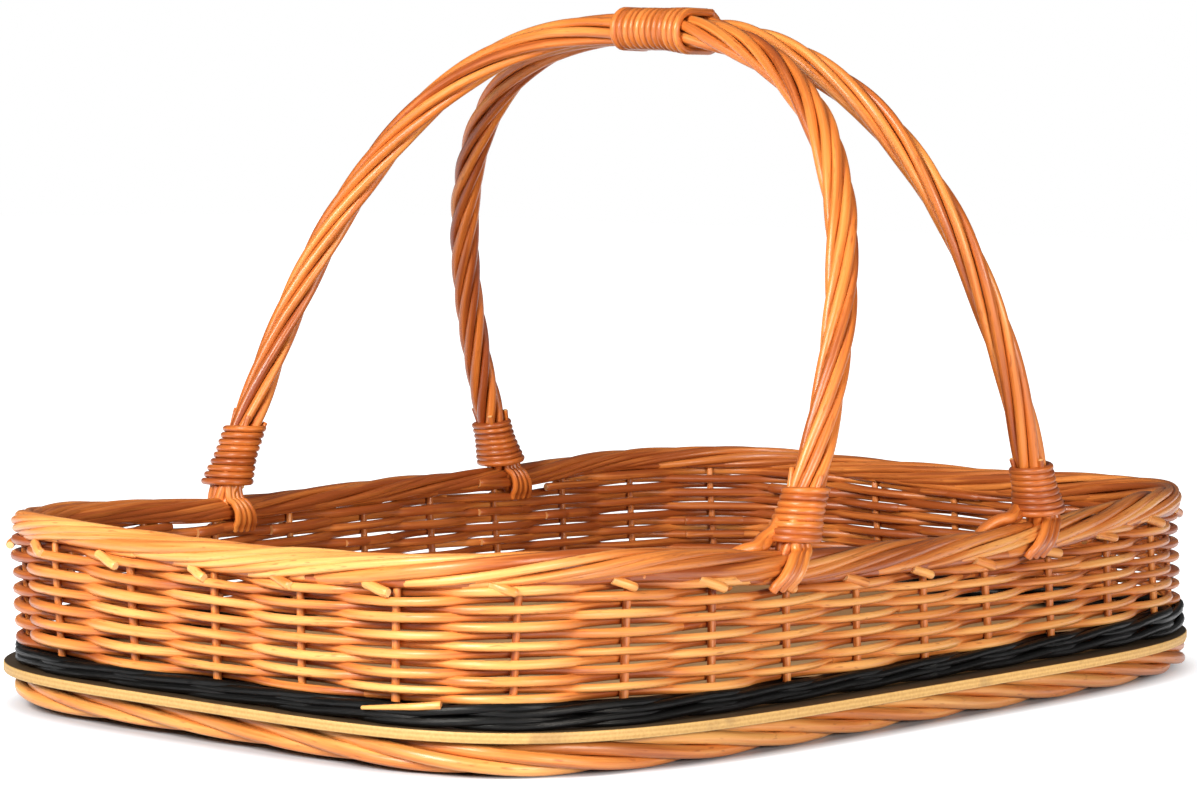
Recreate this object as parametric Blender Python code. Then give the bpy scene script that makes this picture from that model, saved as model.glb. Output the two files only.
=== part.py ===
"""Wicker serving tray with two roped bow handles, bound together at the top.

Units are metres, +Z is up. The origin is on the floor, under the middle of the tray.
The long sides face -Y (front) and +Y (back), the short ends -X (left) and +X (right).

The tray is built as a basket maker builds it. A plywood board is drilled round its edge
for a ring of stakes. Below it the stakes are turned into a roped foot border. Above it
come two rounds of black three-rod wale, then rows of single rods that pass in front of one
stake and behind the next. Short rods packed round the ends and the corners lift the roped
border there, so it dips along the sides. Each handle is a bow of rods whose core is pushed
down beside a stake and whose outer rods straddle the border. A wound rod holds each foot of
a bow together, and a longer one joins the two bows at the top.
"""

import math

import bmesh
import bpy
from mathutils import Vector

UP = Vector((0, 0, 1))

# Room left between neighbouring pieces, and how far a cutter runs past what it cuts
FIT_GAP = 0.0003
CUT_OVERRUN = 0.0100

# Base board: a rounded rectangle, written as a superellipse
BOARD_HALF_LENGTH = 0.240
BOARD_HALF_WIDTH = 0.165
BOARD_THICKNESS = 0.0048
BOARD_EDGE_ROUND = 0.0008
BOARD_OUTLINE_POWER = 4.3
BOARD_OUTLINE_POINTS = 52

# Stakes, which stand in holes drilled on a line inside the edge of the board. The line has
# squarer corners than the board and lies nearer to the short ends than to the long sides
STAKE_DIAMETER = 0.0050
STAKE_SIDES = 5
STAKE_LINE_END_INSET = 0.0095
STAKE_LINE_SIDE_INSET = 0.0170
STAKE_LINE_OUTLINE_POWER = 5.4
STAKE_COUNT = 32
STAKE_LINE_SAMPLES = 1440

# Foot border under the board. A section gives, for each strand, corners as a share of the
# strand's part of a turn and a share of the radius: crests at the rods, grooves between them
FOOT_RADIUS = 0.0064
FOOT_STRANDS = 4
FOOT_SECTION_SHARES = ((-0.14, 1.04), (0.14, 1.04), (0.5, 0.68))
FOOT_FLAT_DEPTH = 0.0005

# Black wale: two rounds, each of three rods
WALE_DIAMETER = 0.0024
WALE_ROD_GAP = 0.0003
WALE_ROWS = 2
WALE_RODS = 3

# Plain weave above the wale: full rows, then a short rod round each end, then one at each
# corner. The side counts say how many stakes a short rod passes on each side of its middle
WEAVER_DIAMETER = 0.00295
WEAVER_FULL_ROWS = 9
WEAVER_SIDES = 4
END_ROD_SIDE_COUNT = 5
CORNER_ROD_SIDE_COUNT = 1
CORNER_FROM_END_COUNT = 3

# Roped border on top of the wall
RIM_RADIUS = 0.0063
RIM_STRANDS = 5
RIM_SECTION_SHARES = ((0, 1), (0.5, 0.73))
BORDER_STEPS_PER_STAKE = 2

# How the top border rises from the middle of a long side to the corners, and dips again to
# the middle of a short end, at shares of the way from the one middle to the other
CORNER_RISE = 0.0080
END_DIP = 0.0027
RISE_START_SHARE = 0.15
RISE_END_SHARE = 0.53
DIP_START_SHARE = 0.66

# Handle bows, each a superellipse that leans towards the other and a little to the front
BOW_RADIUS = 0.0063
BOW_HEIGHT = 0.1920
BOW_TOP_TOWARDS_FRONT = 0.0070
BOW_OUTLINE_POWER = 2.55
BOW_STRANDS = 5
BOW_SECTION_SHARES = ((0, 1), (0.5, 0.76))
BOW_TWIST_LENGTH = 0.1450
BOW_STEPS = 30
BOW_SAMPLES = 720
BOW_STAKE_FROM_MIDDLE_COUNT = 2
BOW_CORE_DIAMETER = 0.0044
BOW_CORE_ROOT = 0.0040

# Outer rods of a bow, which straddle the border as two flat groups
PRONG_WIDTH = 0.0085
PRONG_THICKNESS = 0.0030
PRONG_ROOT = 0.0050
PRONG_ROOT_WIDTH_SHARE = 0.6
PRONG_SLANT = 0.0060
PRONG_REACH = 0.0045
PRONG_BEND_STEPS = 3

# Rod wound round each foot of a bow
WRAP_ROD_DIAMETER = 0.0022
WRAP_ROD_GAP = 0.0005
WRAP_TURNS = 8
WRAP_POINTS_PER_TURN = 9

# Rod wound round both bows, a little to the front of their highest point
BINDING_ROD_DIAMETER = 0.0024
BINDING_ROD_GAP = 0.0005
BINDING_TURNS = 11
BINDING_TOWARDS_FRONT = 0.0095
BINDING_POINTS_PER_TURN = 12
WOUND_ROD_SIDES = 5

# Finishes: name, linear red, green and blue, and roughness
PLYWOOD = ("plywood", (0.86, 0.58, 0.26), 0.60)
BUFF_WILLOW = ("buff_willow", (0.62, 0.25, 0.06), 0.45)
HANDLE_WILLOW = ("handle_willow", (0.55, 0.19, 0.045), 0.40)
BLACK_WILLOW = ("black_willow", (0.015, 0.016, 0.018), 0.45)

# What follows from the sizes above, from the floor upwards
STAKE_RADIUS = STAKE_DIAMETER / 2
BOW_CORE_RADIUS = BOW_CORE_DIAMETER / 2
WALL_CORE_RADIUS = max(STAKE_RADIUS, BOW_CORE_RADIUS)
HUG_REACH = STAKE_RADIUS + BOW_CORE_DIAMETER + 2 * FIT_GAP
WALL_HALF_THICKNESS = WALL_CORE_RADIUS + FIT_GAP + max(WEAVER_DIAMETER, WALE_DIAMETER)

FOOT_HEIGHT = FOOT_RADIUS - FOOT_FLAT_DEPTH
BOARD_BOTTOM = FOOT_HEIGHT + FOOT_RADIUS + FIT_GAP
BOARD_TOP = BOARD_BOTTOM + BOARD_THICKNESS
WALE_PITCH = WALE_DIAMETER + WALE_ROD_GAP
WALE_BASE = BOARD_TOP + FIT_GAP + WALE_DIAMETER / 2
WALE_TOP = WALE_BASE + (2 * WALE_ROWS - 1) * WALE_PITCH + WALE_DIAMETER / 2
WEAVER_PITCH = WEAVER_DIAMETER + FIT_GAP
WEAVER_BASE = WALE_TOP + FIT_GAP + WEAVER_DIAMETER / 2
SIDE_TOP = WEAVER_BASE + (WEAVER_FULL_ROWS - 1) * WEAVER_PITCH + WEAVER_DIAMETER / 2
RIM_HEIGHT = SIDE_TOP + FIT_GAP + RIM_RADIUS


def clear_scene():
    """Remove whatever the open file holds."""
    for obj in list(bpy.data.objects):
        bpy.data.objects.remove(obj, do_unlink=True)


def make_material(part_name, finish):
    """A Principled material of this piece's own."""
    finish_name, colour, roughness = finish
    material = bpy.data.materials.new(f"{part_name}_{finish_name}")
    material.use_nodes = True
    material.diffuse_color = (*colour, 1.0)
    shader = material.node_tree.nodes["Principled BSDF"]
    shader.inputs["Base Color"].default_value = (*colour, 1.0)
    shader.inputs["Roughness"].default_value = roughness
    shader.inputs["Metallic"].default_value = 0.0
    return material


def skin_mesh(name, stacks, closed=False, shift=0):
    """A closed skin over each stack of rings, which all have equal counts of points.

    A stack is capped at both ends or, where it is closed, joined end to start. The shift
    says how many corners a twisted stack has turned by when it meets its start again.
    """
    bm = bmesh.new()
    for rings in stacks:
        rows = [[bm.verts.new(point) for point in ring] for ring in rings]
        count = len(rows[0])
        if closed:
            rows.append(rows[0][shift:] + rows[0][:shift])
        for below, above in zip(rows, rows[1:]):
            for corner in range(count):
                after = (corner + 1) % count
                bm.faces.new((below[corner], below[after], above[after], above[corner]))
        if not closed:
            bm.faces.new(list(reversed(rows[0])))
            bm.faces.new(rows[-1])
    bmesh.ops.triangulate(bm, faces=bm.faces[:])
    if bm.calc_volume(signed=True) < 0:
        bmesh.ops.reverse_faces(bm, faces=bm.faces[:])
    mesh = bpy.data.meshes.new(name)
    bm.to_mesh(mesh)
    bm.free()
    mesh.shade_smooth()
    mesh.set_sharp_from_angle(angle=math.radians(50))
    return mesh


def add_part(name, mesh, finish):
    """Put a finished piece in the scene."""
    obj = bpy.data.objects.new(name, mesh)
    mesh.materials.append(make_material(name, finish))
    bpy.context.scene.collection.objects.link(obj)
    return obj


def combine(obj, name, mesh, operation):
    """Cut helper shapes out of a piece, or join them on. They may overlap each other."""
    helper = bpy.data.objects.new(name, mesh)
    bpy.context.scene.collection.objects.link(helper)
    helper.hide_render = True
    helper.display_type = "WIRE"
    modifier = obj.modifiers.new(name, "BOOLEAN")
    modifier.operation = operation
    modifier.solver = "EXACT"
    modifier.use_self = True
    modifier.object = helper


def rod_rings(points, radius, sides, across, closed=False):
    """Rings square to a path. The across direction is one that the path never follows."""
    rings = []
    for index, point in enumerate(points):
        before = points[index - 1] if closed or index else point
        is_last = index == len(points) - 1
        after = point if is_last and not closed else points[(index + 1) % len(points)]
        direction = (after - before).normalized()
        side = direction.cross(across).normalized()
        lift = side.cross(direction)
        ring = []
        for corner in range(sides):
            angle = 2 * math.pi * corner / sides
            ring.append(point + radius * (math.cos(angle) * side + math.sin(angle) * lift))
        rings.append(ring)
    return rings


def upright_prism(centre, forward, radius, sides, bottom, top):
    """Two level rings with one corner in the forward direction."""
    outward = forward.cross(UP)
    rings = []
    for height in (bottom, top):
        ring = []
        for corner in range(sides):
            angle = 2 * math.pi * corner / sides
            side = math.cos(angle) * forward + math.sin(angle) * outward
            ring.append(centre + radius * side + height * UP)
        rings.append(ring)
    return rings


def smooth_step(share):
    """An even rise from 0 to 1, level at both ends."""
    return (1 - math.cos(math.pi * min(max(share, 0), 1))) / 2


def rounded_outline(half_length, half_width, power, angle):
    """The point of a superellipse in a direction, and the outward direction there."""
    long_part = abs(math.cos(angle)) / half_length
    wide_part = abs(math.sin(angle)) / half_width
    distance = (long_part**power + wide_part**power) ** (-1 / power)
    point = distance * Vector((math.cos(angle), math.sin(angle), 0))
    slope_x = math.copysign(long_part ** (power - 1) / half_length, point.x)
    slope_y = math.copysign(wide_part ** (power - 1) / half_width, point.y)
    return point, Vector((slope_x, slope_y, 0)).normalized()


class StakeLine:
    """The line that the stakes stand on, inside the edge of the board."""

    def __init__(self):
        half_length = BOARD_HALF_LENGTH - STAKE_LINE_END_INSET
        half_width = BOARD_HALF_WIDTH - STAKE_LINE_SIDE_INSET
        self.points = []
        self.outwards = []
        for step in range(STAKE_LINE_SAMPLES + 1):
            angle = 2 * math.pi * step / STAKE_LINE_SAMPLES - math.pi / 2
            point, outward = rounded_outline(half_length, half_width, STAKE_LINE_OUTLINE_POWER, angle)
            self.points.append(point)
            self.outwards.append(outward)
        self.run = [0.0]
        for first, second in zip(self.points, self.points[1:]):
            self.run.append(self.run[-1] + (second - first).length)

    def at(self, turn_share):
        """Place, outward and forward directions at a share of the way round from the front."""
        wanted = (turn_share % 1) * self.run[-1]
        low = 0
        high = len(self.run) - 1
        while high - low > 1:
            middle = (low + high) // 2
            if self.run[middle] <= wanted:
                low = middle
            else:
                high = middle
        blend = (wanted - self.run[low]) / (self.run[high] - self.run[low])
        place = self.points[low].lerp(self.points[high], blend)
        outward = self.outwards[low].lerp(self.outwards[high], blend).normalized()
        return place, outward, UP.cross(outward)

    def stake(self, number):
        """The same for a stake, counted from the middle of the front."""
        return self.at(number / STAKE_COUNT)

    def rise(self, turn_share):
        """How much higher the top border lies here than at the middle of a long side."""
        towards_end = abs((2 * turn_share + 0.5) % 1 - 0.5) * 2
        climb = smooth_step((towards_end - RISE_START_SHARE) / (RISE_END_SHARE - RISE_START_SHARE))
        dip = smooth_step((towards_end - DIP_START_SHARE) / (1 - DIP_START_SHARE))
        return CORNER_RISE * climb - END_DIP * dip

    def rises_near(self, turn_share, reach):
        """The rise at a place and at a reach to both sides of it."""
        reach_share = reach / self.run[-1]
        return [self.rise(turn_share + side * reach_share) for side in (-1, 0, 1)]


def build_base_board(line):
    """Plywood board with a slightly rounded edge and a drilled hole for each stake."""
    levels = (
        (BOARD_EDGE_ROUND, BOARD_BOTTOM),
        (0, BOARD_BOTTOM + BOARD_EDGE_ROUND),
        (0, BOARD_TOP - BOARD_EDGE_ROUND),
        (BOARD_EDGE_ROUND, BOARD_TOP),
    )
    rings = []
    for inset, height in levels:
        ring = []
        for step in range(BOARD_OUTLINE_POINTS):
            angle = 2 * math.pi * step / BOARD_OUTLINE_POINTS
            point, outward = rounded_outline(BOARD_HALF_LENGTH, BOARD_HALF_WIDTH, BOARD_OUTLINE_POWER, angle)
            ring.append(point - inset * outward + height * UP)
        rings.append(ring)
    board = add_part("base_board", skin_mesh("base_board", [rings]), PLYWOOD)
    holes = []
    for number in range(STAKE_COUNT):
        centre, outward, forward = line.stake(number)
        radius = STAKE_RADIUS + FIT_GAP
        bottom = BOARD_BOTTOM - CUT_OVERRUN
        top = BOARD_TOP + CUT_OVERRUN
        holes.append(upright_prism(centre, forward, radius, STAKE_SIDES, bottom, top))
    combine(board, "stake_holes", skin_mesh("stake_holes", holes), "DIFFERENCE")


def build_stakes(line):
    """Upright stakes, from the underside of the board to just under the border."""
    for number in range(STAKE_COUNT):
        centre, outward, forward = line.stake(number)
        rise = min(line.rises_near(number / STAKE_COUNT, STAKE_RADIUS))
        top = RIM_HEIGHT + rise - RIM_RADIUS - FIT_GAP
        rings = upright_prism(centre, forward, STAKE_RADIUS, STAKE_SIDES, BOARD_BOTTOM, top)
        name = f"stake_{number + 1:02d}"
        add_part(name, skin_mesh(name, [rings]), BUFF_WILLOW)


def weaver_rings(line, row, stakes, closed):
    """A rod of the plain weave, in front of one stake and behind the next."""
    offset = WALL_CORE_RADIUS + FIT_GAP + WEAVER_DIAMETER / 2
    height = WEAVER_BASE + row * WEAVER_PITCH
    points = []
    for number in stakes:
        centre, outward, forward = line.stake(number)
        side = -1 if (number + row) % 2 == 0 else 1
        for reach in (-HUG_REACH, HUG_REACH):
            points.append(centre + side * offset * outward + reach * forward + height * UP)
    return rod_rings(points, WEAVER_DIAMETER / 2, WEAVER_SIDES, UP, closed=closed)


def build_weave(line):
    """Full rows, then a short rod packed round each end, then one at each corner.

    The short rods begin and end behind a stake.
    """
    for row in range(WEAVER_FULL_ROWS):
        rings = weaver_rings(line, row, range(STAKE_COUNT), True)
        name = f"weave_row_{row + 1:02d}"
        add_part(name, skin_mesh(name, [rings], closed=True), BUFF_WILLOW)
    ends = (3 * STAKE_COUNT // 4, STAKE_COUNT // 4)
    short_rods = [(WEAVER_FULL_ROWS, end, END_ROD_SIDE_COUNT) for end in ends]
    for end in ends:
        for side in (-1, 1):
            corner = end + side * CORNER_FROM_END_COUNT
            short_rods.append((WEAVER_FULL_ROWS + 1, corner, CORNER_ROD_SIDE_COUNT))
    for index, (row, middle, side_count) in enumerate(short_rods):
        rings = weaver_rings(line, row, range(middle - side_count, middle + side_count + 1), False)
        name = f"weave_row_{WEAVER_FULL_ROWS + 1 + index:02d}"
        add_part(name, skin_mesh(name, [rings]), BUFF_WILLOW)


def build_wale(line):
    """Black rows: each rod is low in front of one stake, high in front of the next, then behind one.

    The count of stakes isn't a multiple of three, so the three rods of a row run on into each
    other and close after three rounds.
    """
    offset = WALL_CORE_RADIUS + FIT_GAP + WALE_DIAMETER / 2
    for row in range(WALE_ROWS):
        low = WALE_BASE + 2 * row * WALE_PITCH
        high = low + WALE_PITCH
        strokes = ((1, low, low), (1, high, high), (-1, high, low))
        points = []
        for number in range(WALE_RODS * STAKE_COUNT):
            centre, outward, forward = line.stake(number)
            side, arriving, leaving = strokes[number % WALE_RODS]
            for reach, height in ((-HUG_REACH, arriving), (HUG_REACH, leaving)):
                points.append(centre + side * offset * outward + reach * forward + height * UP)
        rings = rod_rings(points, WALE_DIAMETER / 2, WEAVER_SIDES, UP, closed=True)
        name = f"wale_row_{row + 1}"
        add_part(name, skin_mesh(name, [rings], closed=True), BLACK_WILLOW)


def bundle_ring(centre, first, second, radius, section_shares, strands, twist):
    """Section of a bundle of rods, with the same few corners for each strand."""
    ring = []
    for strand in range(strands):
        for place_share, reach_share in section_shares:
            angle = 2 * math.pi * (strand + place_share) / strands + twist
            side = math.cos(angle) * first + math.sin(angle) * second
            ring.append(centre + radius * reach_share * side)
    return ring


def level_end(ring, direction, height):
    """The end ring of a slanted bundle, slid along the bundle so that it lies level."""
    return [point + (height - point.z) / direction.z * direction for point in ring]


def border_mesh(line, name, height, follows_rise, radius, section_shares, strands, lay):
    """A roped ring on the stake line that turns by one strand from stake to stake.

    The lay is 1 where the strands rise forward on the outside, and -1 where they fall.
    """
    steps = STAKE_COUNT * BORDER_STEPS_PER_STAKE
    rings = []
    for step in range(steps):
        centre, outward, forward = line.at(step / steps)
        twist = lay * 2 * math.pi * step / BORDER_STEPS_PER_STAKE / strands - math.pi / 2
        rise = line.rise(step / steps) if follows_rise else 0
        place = centre + (height + rise) * UP
        rings.append(bundle_ring(place, outward, UP, radius, section_shares, strands, twist))
    shift = len(section_shares) * (lay * STAKE_COUNT % strands)
    return skin_mesh(name, [rings], closed=True, shift=shift)


def build_foot_border(line):
    """Roped border under the board, cut flat where it meets the floor.

    It is turned with the tray upside down, so its lay is the other way round.
    """
    shares = FOOT_SECTION_SHARES
    mesh = border_mesh(line, "foot_border", FOOT_HEIGHT, False, FOOT_RADIUS, shares, FOOT_STRANDS, -1)
    border = add_part("foot_border", mesh, BUFF_WILLOW)
    reach = BOARD_HALF_LENGTH + BOARD_HALF_WIDTH
    cutter = upright_prism(Vector(), Vector((1, 0, 0)), reach, BOARD_OUTLINE_POINTS, -CUT_OVERRUN, 0)
    combine(border, "floor_cut", skin_mesh("floor_cut", [cutter]), "DIFFERENCE")


def build_rim_border(line, feet):
    """Roped border on top of the wall, with a way through for the core of each bow's foot."""
    shares = RIM_SECTION_SHARES
    mesh = border_mesh(line, "rim_border", RIM_HEIGHT, True, RIM_RADIUS, shares, RIM_STRANDS, 1)
    border = add_part("rim_border", mesh, BUFF_WILLOW)
    ways = []
    for foot in feet:
        radius = BOW_CORE_RADIUS + FIT_GAP
        bottom = foot.rim_height - RIM_RADIUS - CUT_OVERRUN
        top = foot.rim_height + RIM_RADIUS + CUT_OVERRUN
        ways.append(upright_prism(foot.place, foot.forward, radius, STAKE_SIDES, bottom, top))
    combine(border, "core_ways", skin_mesh("core_ways", ways), "DIFFERENCE")


class Foot:
    """Where the core of one foot of a bow stands: beside a stake, before (-1) or after it (1)."""

    def __init__(self, line, stake_number, side):
        step = STAKE_RADIUS + FIT_GAP + BOW_CORE_RADIUS
        turn_share = stake_number / STAKE_COUNT + side * step / line.run[-1]
        self.place, self.outward, self.forward = line.at(turn_share)
        self.rim_height = RIM_HEIGHT + line.rise(turn_share)
        highest_rise = max(line.rises_near(turn_share, BOW_RADIUS))
        self.seat_height = RIM_HEIGHT + highest_rise + RIM_RADIUS + FIT_GAP


def bow_feet(line):
    """The feet: right front, right back, left back, left front.

    Each stands on the side of its stake towards the middle of the tray, apart from the right
    back one, which stands on the other side.
    """
    half_way = STAKE_COUNT // 2
    from_middle = BOW_STAKE_FROM_MIDDLE_COUNT
    return (
        Foot(line, from_middle, -1),
        Foot(line, half_way - from_middle, -1),
        Foot(line, half_way + from_middle, -1),
        Foot(line, -from_middle, 1),
    )


class Bow:
    """The centre line of one handle bow, from its front foot to its back foot."""

    def __init__(self, front_foot, back_foot):
        self.middle = (front_foot.place + back_foot.place) / 2
        self.half_span = (back_foot.place - front_foot.place) / 2
        self.top_x = math.copysign(BOW_RADIUS + FIT_GAP / 2, self.middle.x)
        self.lean = Vector((self.top_x - self.middle.x, -BOW_TOP_TOWARDS_FRONT, BOW_HEIGHT)).normalized()
        self.normal = Vector((0, 1, 0)).cross(self.lean).normalized()
        self.base = max(front_foot.seat_height, back_foot.seat_height)
        self.points = []
        for step in range(BOW_SAMPLES + 1):
            angle = math.pi * step / BOW_SAMPLES
            level_share = abs(math.cos(angle)) ** (2 / BOW_OUTLINE_POWER)
            self.points.append(self.point(-math.copysign(level_share, math.cos(angle))))
        self.run = [0.0]
        for first, second in zip(self.points, self.points[1:]):
            self.run.append(self.run[-1] + (second - first).length)

    def point(self, span_share):
        """The point at a share of the half span, from -1 at the front foot to 1 at the back."""
        rise = max(0, 1 - abs(span_share) ** BOW_OUTLINE_POWER) ** (1 / BOW_OUTLINE_POWER)
        level = self.middle + span_share * self.half_span
        x = level.x + (self.top_x - level.x) * rise
        y = level.y - BOW_TOP_TOWARDS_FRONT * rise
        return Vector((x, y, self.base + BOW_HEIGHT * rise))

    def at(self, distance):
        """The point at a distance along the bow, and its direction there."""
        low = 0
        high = len(self.run) - 1
        while high - low > 1:
            middle = (low + high) // 2
            if self.run[middle] <= distance:
                low = middle
            else:
                high = middle
        blend = (distance - self.run[low]) / (self.run[high] - self.run[low])
        direction = (self.points[high] - self.points[low]).normalized()
        return self.points[low].lerp(self.points[high], blend), direction


def prong_rings(bow, foot, side):
    """A flat group of rods from the end of a bow over the border, outside (1) or inside (-1)."""
    forward = foot.forward
    clear_reach = max(RIM_RADIUS, WALL_HALF_THICKNESS) + FIT_GAP + PRONG_THICKNESS / 2
    bend_step = math.pi / 2 / PRONG_BEND_STEPS
    bend_reach = clear_reach / math.cos(bend_step / 2)
    path = [(PRONG_THICKNESS / 2 + FIT_GAP, 0, bow.base + PRONG_ROOT)]
    for step in range(1, PRONG_BEND_STEPS + 1):
        angle = bend_step * step
        slant = PRONG_SLANT * step / (PRONG_BEND_STEPS + 1)
        height = foot.rim_height + bend_reach * math.cos(angle)
        path.append((bend_reach * math.sin(angle), slant, height))
    path.append((bend_reach, PRONG_SLANT, foot.rim_height - RIM_RADIUS - PRONG_REACH))
    points = []
    for reach, slant, height in path:
        points.append(foot.place + side * reach * foot.outward - slant * forward + height * UP)
    rings = []
    for index, point in enumerate(points):
        before = points[max(index - 1, 0)]
        after = points[min(index + 1, len(points) - 1)]
        face = (after - before).cross(forward).normalized()
        half_width = PRONG_WIDTH / 2
        if index == 0:
            half_width = half_width * PRONG_ROOT_WIDTH_SHARE
        half_depth = PRONG_THICKNESS / 2
        ring = []
        for along, deep in ((-1, -1), (1, -1), (1, 1), (-1, 1)):
            ring.append(point + along * half_width * forward + deep * half_depth * face)
        rings.append(ring)
    return rings


def build_bow(name, bow, feet):
    """One bow: a roped bundle, a core rod down into the wall at each foot, and four prongs."""
    rings = []
    for step in range(BOW_STEPS + 1):
        distance = bow.run[-1] * step / BOW_STEPS
        centre, direction = bow.at(distance)
        second = direction.cross(bow.normal)
        twist = 2 * math.pi * distance / BOW_TWIST_LENGTH
        shares = BOW_SECTION_SHARES
        ring = bundle_ring(centre, bow.normal, second, BOW_RADIUS, shares, BOW_STRANDS, twist)
        if step in (0, BOW_STEPS):
            ring = level_end(ring, direction, bow.base)
        rings.append(ring)
    obj = add_part(name, skin_mesh(name, [rings]), HANDLE_WILLOW)
    foot_rods = []
    for foot in feet:
        bottom = BOARD_TOP + FIT_GAP
        top = bow.base + BOW_CORE_ROOT
        foot_rods.append(upright_prism(foot.place, foot.forward, BOW_CORE_RADIUS, STAKE_SIDES, bottom, top))
        foot_rods.append(prong_rings(bow, foot, 1))
        foot_rods.append(prong_rings(bow, foot, -1))
    combine(obj, f"{name}_foot_rods", skin_mesh("foot_rods", foot_rods), "UNION")


def least_gap(points, points_per_turn, diameter):
    """The least room between a wound rod and its own other turns."""
    least = math.inf
    for index, point in enumerate(points):
        for other in points[index + points_per_turn // 2 + 1 :]:
            least = min(least, (other - point).length)
    return least - diameter


def build_winding(name, points, across, points_per_turn, diameter):
    """An unbroken wound rod, whose two ends run straight for one diameter."""
    first_run = (points[0] - points[1]).normalized()
    last_run = (points[-1] - points[-2]).normalized()
    path = [points[0] + diameter * first_run, *points, points[-1] + diameter * last_run]
    rings = rod_rings(path, diameter / 2, WOUND_ROD_SIDES, across)
    add_part(name, skin_mesh(name, [rings]), HANDLE_WILLOW)
    gap = least_gap(path, points_per_turn, diameter)
    print(f"{name}: least gap to itself {gap * 1000:.2f} mm")


def build_foot_wrap(name, bow, at_back):
    """A rod wound round one foot of a bow. The low side of its first turn is level with the foot."""
    pitch = WRAP_ROD_DIAMETER + WRAP_ROD_GAP
    reach = BOW_RADIUS + FIT_GAP + WRAP_ROD_DIAMETER / 2
    reach = reach / math.cos(math.pi / WRAP_POINTS_PER_TURN)
    start = (reach * bow.lean.to_2d().length + WRAP_ROD_DIAMETER / 2) / bow.lean.z
    points = []
    for step in range(WRAP_TURNS * WRAP_POINTS_PER_TURN + 1):
        distance = start + pitch * step / WRAP_POINTS_PER_TURN
        if at_back:
            distance = bow.run[-1] - distance
        centre, direction = bow.at(distance)
        second = direction.cross(bow.normal)
        angle = 2 * math.pi * step / WRAP_POINTS_PER_TURN
        points.append(centre + reach * (math.cos(angle) * bow.normal + math.sin(angle) * second))
    build_winding(name, points, bow.lean, WRAP_POINTS_PER_TURN, WRAP_ROD_DIAMETER)


def loop_point(half_straight, radius, share):
    """A point of a loop with two flat sides and two round ends, at a share of its length."""
    half_length = 2 * half_straight + math.pi * radius
    distance = (share % 1) * 2 * half_length
    side = 1
    if distance >= half_length:
        distance = distance - half_length
        side = -1
    if distance < 2 * half_straight:
        return side * (half_straight - distance), side * radius
    angle = math.pi / 2 + (distance - 2 * half_straight) / radius
    return side * (radius * math.cos(angle) - half_straight), side * radius * math.sin(angle)


def build_top_binding(left_bow, right_bow):
    """A rod wound round both bows where they lie side by side."""
    pitch = BINDING_ROD_DIAMETER + BINDING_ROD_GAP
    radius = BOW_RADIUS + FIT_GAP + BINDING_ROD_DIAMETER / 2
    girth = 4 * BOW_RADIUS + 2 * math.pi * radius
    radius = radius / math.cos(girth / BINDING_POINTS_PER_TURN / radius / 2)
    half_length = pitch * BINDING_TURNS / 2
    points = []
    for step in range(BINDING_TURNS * BINDING_POINTS_PER_TURN + 1):
        turns = step / BINDING_POINTS_PER_TURN
        from_top = pitch * turns - half_length - BINDING_TOWARDS_FRONT
        left = left_bow.point(from_top / left_bow.half_span.y)
        right = right_bow.point(from_top / right_bow.half_span.y)
        x, z = loop_point((right.x - left.x) / 2, radius, turns)
        points.append((left + right) / 2 + Vector((x, 0, z)))
    build_winding("top_binding", points, Vector((0, 1, 0)), BINDING_POINTS_PER_TURN, BINDING_ROD_DIAMETER)


def build_handles(feet):
    """Both bows, the windings at their feet and the binding that joins them."""
    right_front, right_back, left_back, left_front = feet
    bows = []
    for side_name, front, back in (("left", left_front, left_back), ("right", right_front, right_back)):
        bow = Bow(front, back)
        build_bow(f"handle_bow_{side_name}", bow, (front, back))
        build_foot_wrap(f"foot_wrap_{side_name}_front", bow, False)
        build_foot_wrap(f"foot_wrap_{side_name}_back", bow, True)
        bows.append(bow)
    build_top_binding(*bows)


def main():
    clear_scene()
    line = StakeLine()
    feet = bow_feet(line)
    build_base_board(line)
    build_foot_border(line)
    build_stakes(line)
    build_wale(line)
    build_weave(line)
    build_rim_border(line, feet)
    build_handles(feet)


main()
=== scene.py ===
"""Looks of the wicker serving tray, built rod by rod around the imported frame.

Every willow rod is a path worked out here and given its round body by a Geometry Nodes tree.
Units are metres, +Z is up, and the origin is on the floor under the middle of the tray.
"""

import logging
import math
from collections.abc import Iterable, Sequence
from dataclasses import dataclass, field
from enum import Enum

import bmesh
import bpy
import numpy as np
from mathutils import Matrix, Vector


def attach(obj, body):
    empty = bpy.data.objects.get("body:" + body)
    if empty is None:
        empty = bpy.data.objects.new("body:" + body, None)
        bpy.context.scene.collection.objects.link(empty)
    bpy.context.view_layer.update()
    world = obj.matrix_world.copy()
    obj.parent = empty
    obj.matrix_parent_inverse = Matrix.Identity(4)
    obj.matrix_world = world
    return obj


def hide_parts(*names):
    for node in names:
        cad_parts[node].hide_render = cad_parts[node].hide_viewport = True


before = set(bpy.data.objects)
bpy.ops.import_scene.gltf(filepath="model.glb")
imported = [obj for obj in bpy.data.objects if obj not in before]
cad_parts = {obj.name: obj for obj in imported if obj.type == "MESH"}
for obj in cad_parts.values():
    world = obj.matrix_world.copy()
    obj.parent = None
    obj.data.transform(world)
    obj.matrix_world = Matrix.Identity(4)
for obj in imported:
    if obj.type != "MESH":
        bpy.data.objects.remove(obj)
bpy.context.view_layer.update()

LOG = logging.getLogger("wicker_tray")
BODY = "root"
UP = np.array((0.0, 0.0, 1.0))
TURN = 2 * math.pi
SEED = 41

Colour = tuple[float, float, float]
Place = tuple[float, float, float]
Value = bpy.types.NodeSocket | float | tuple


class Slot(Enum):
    """Material slots of the record."""

    PLYWOOD = "plywood"
    BUFF = "buff_willow"
    HANDLE = "handle_willow"
    BLACK = "black_willow"


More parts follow.
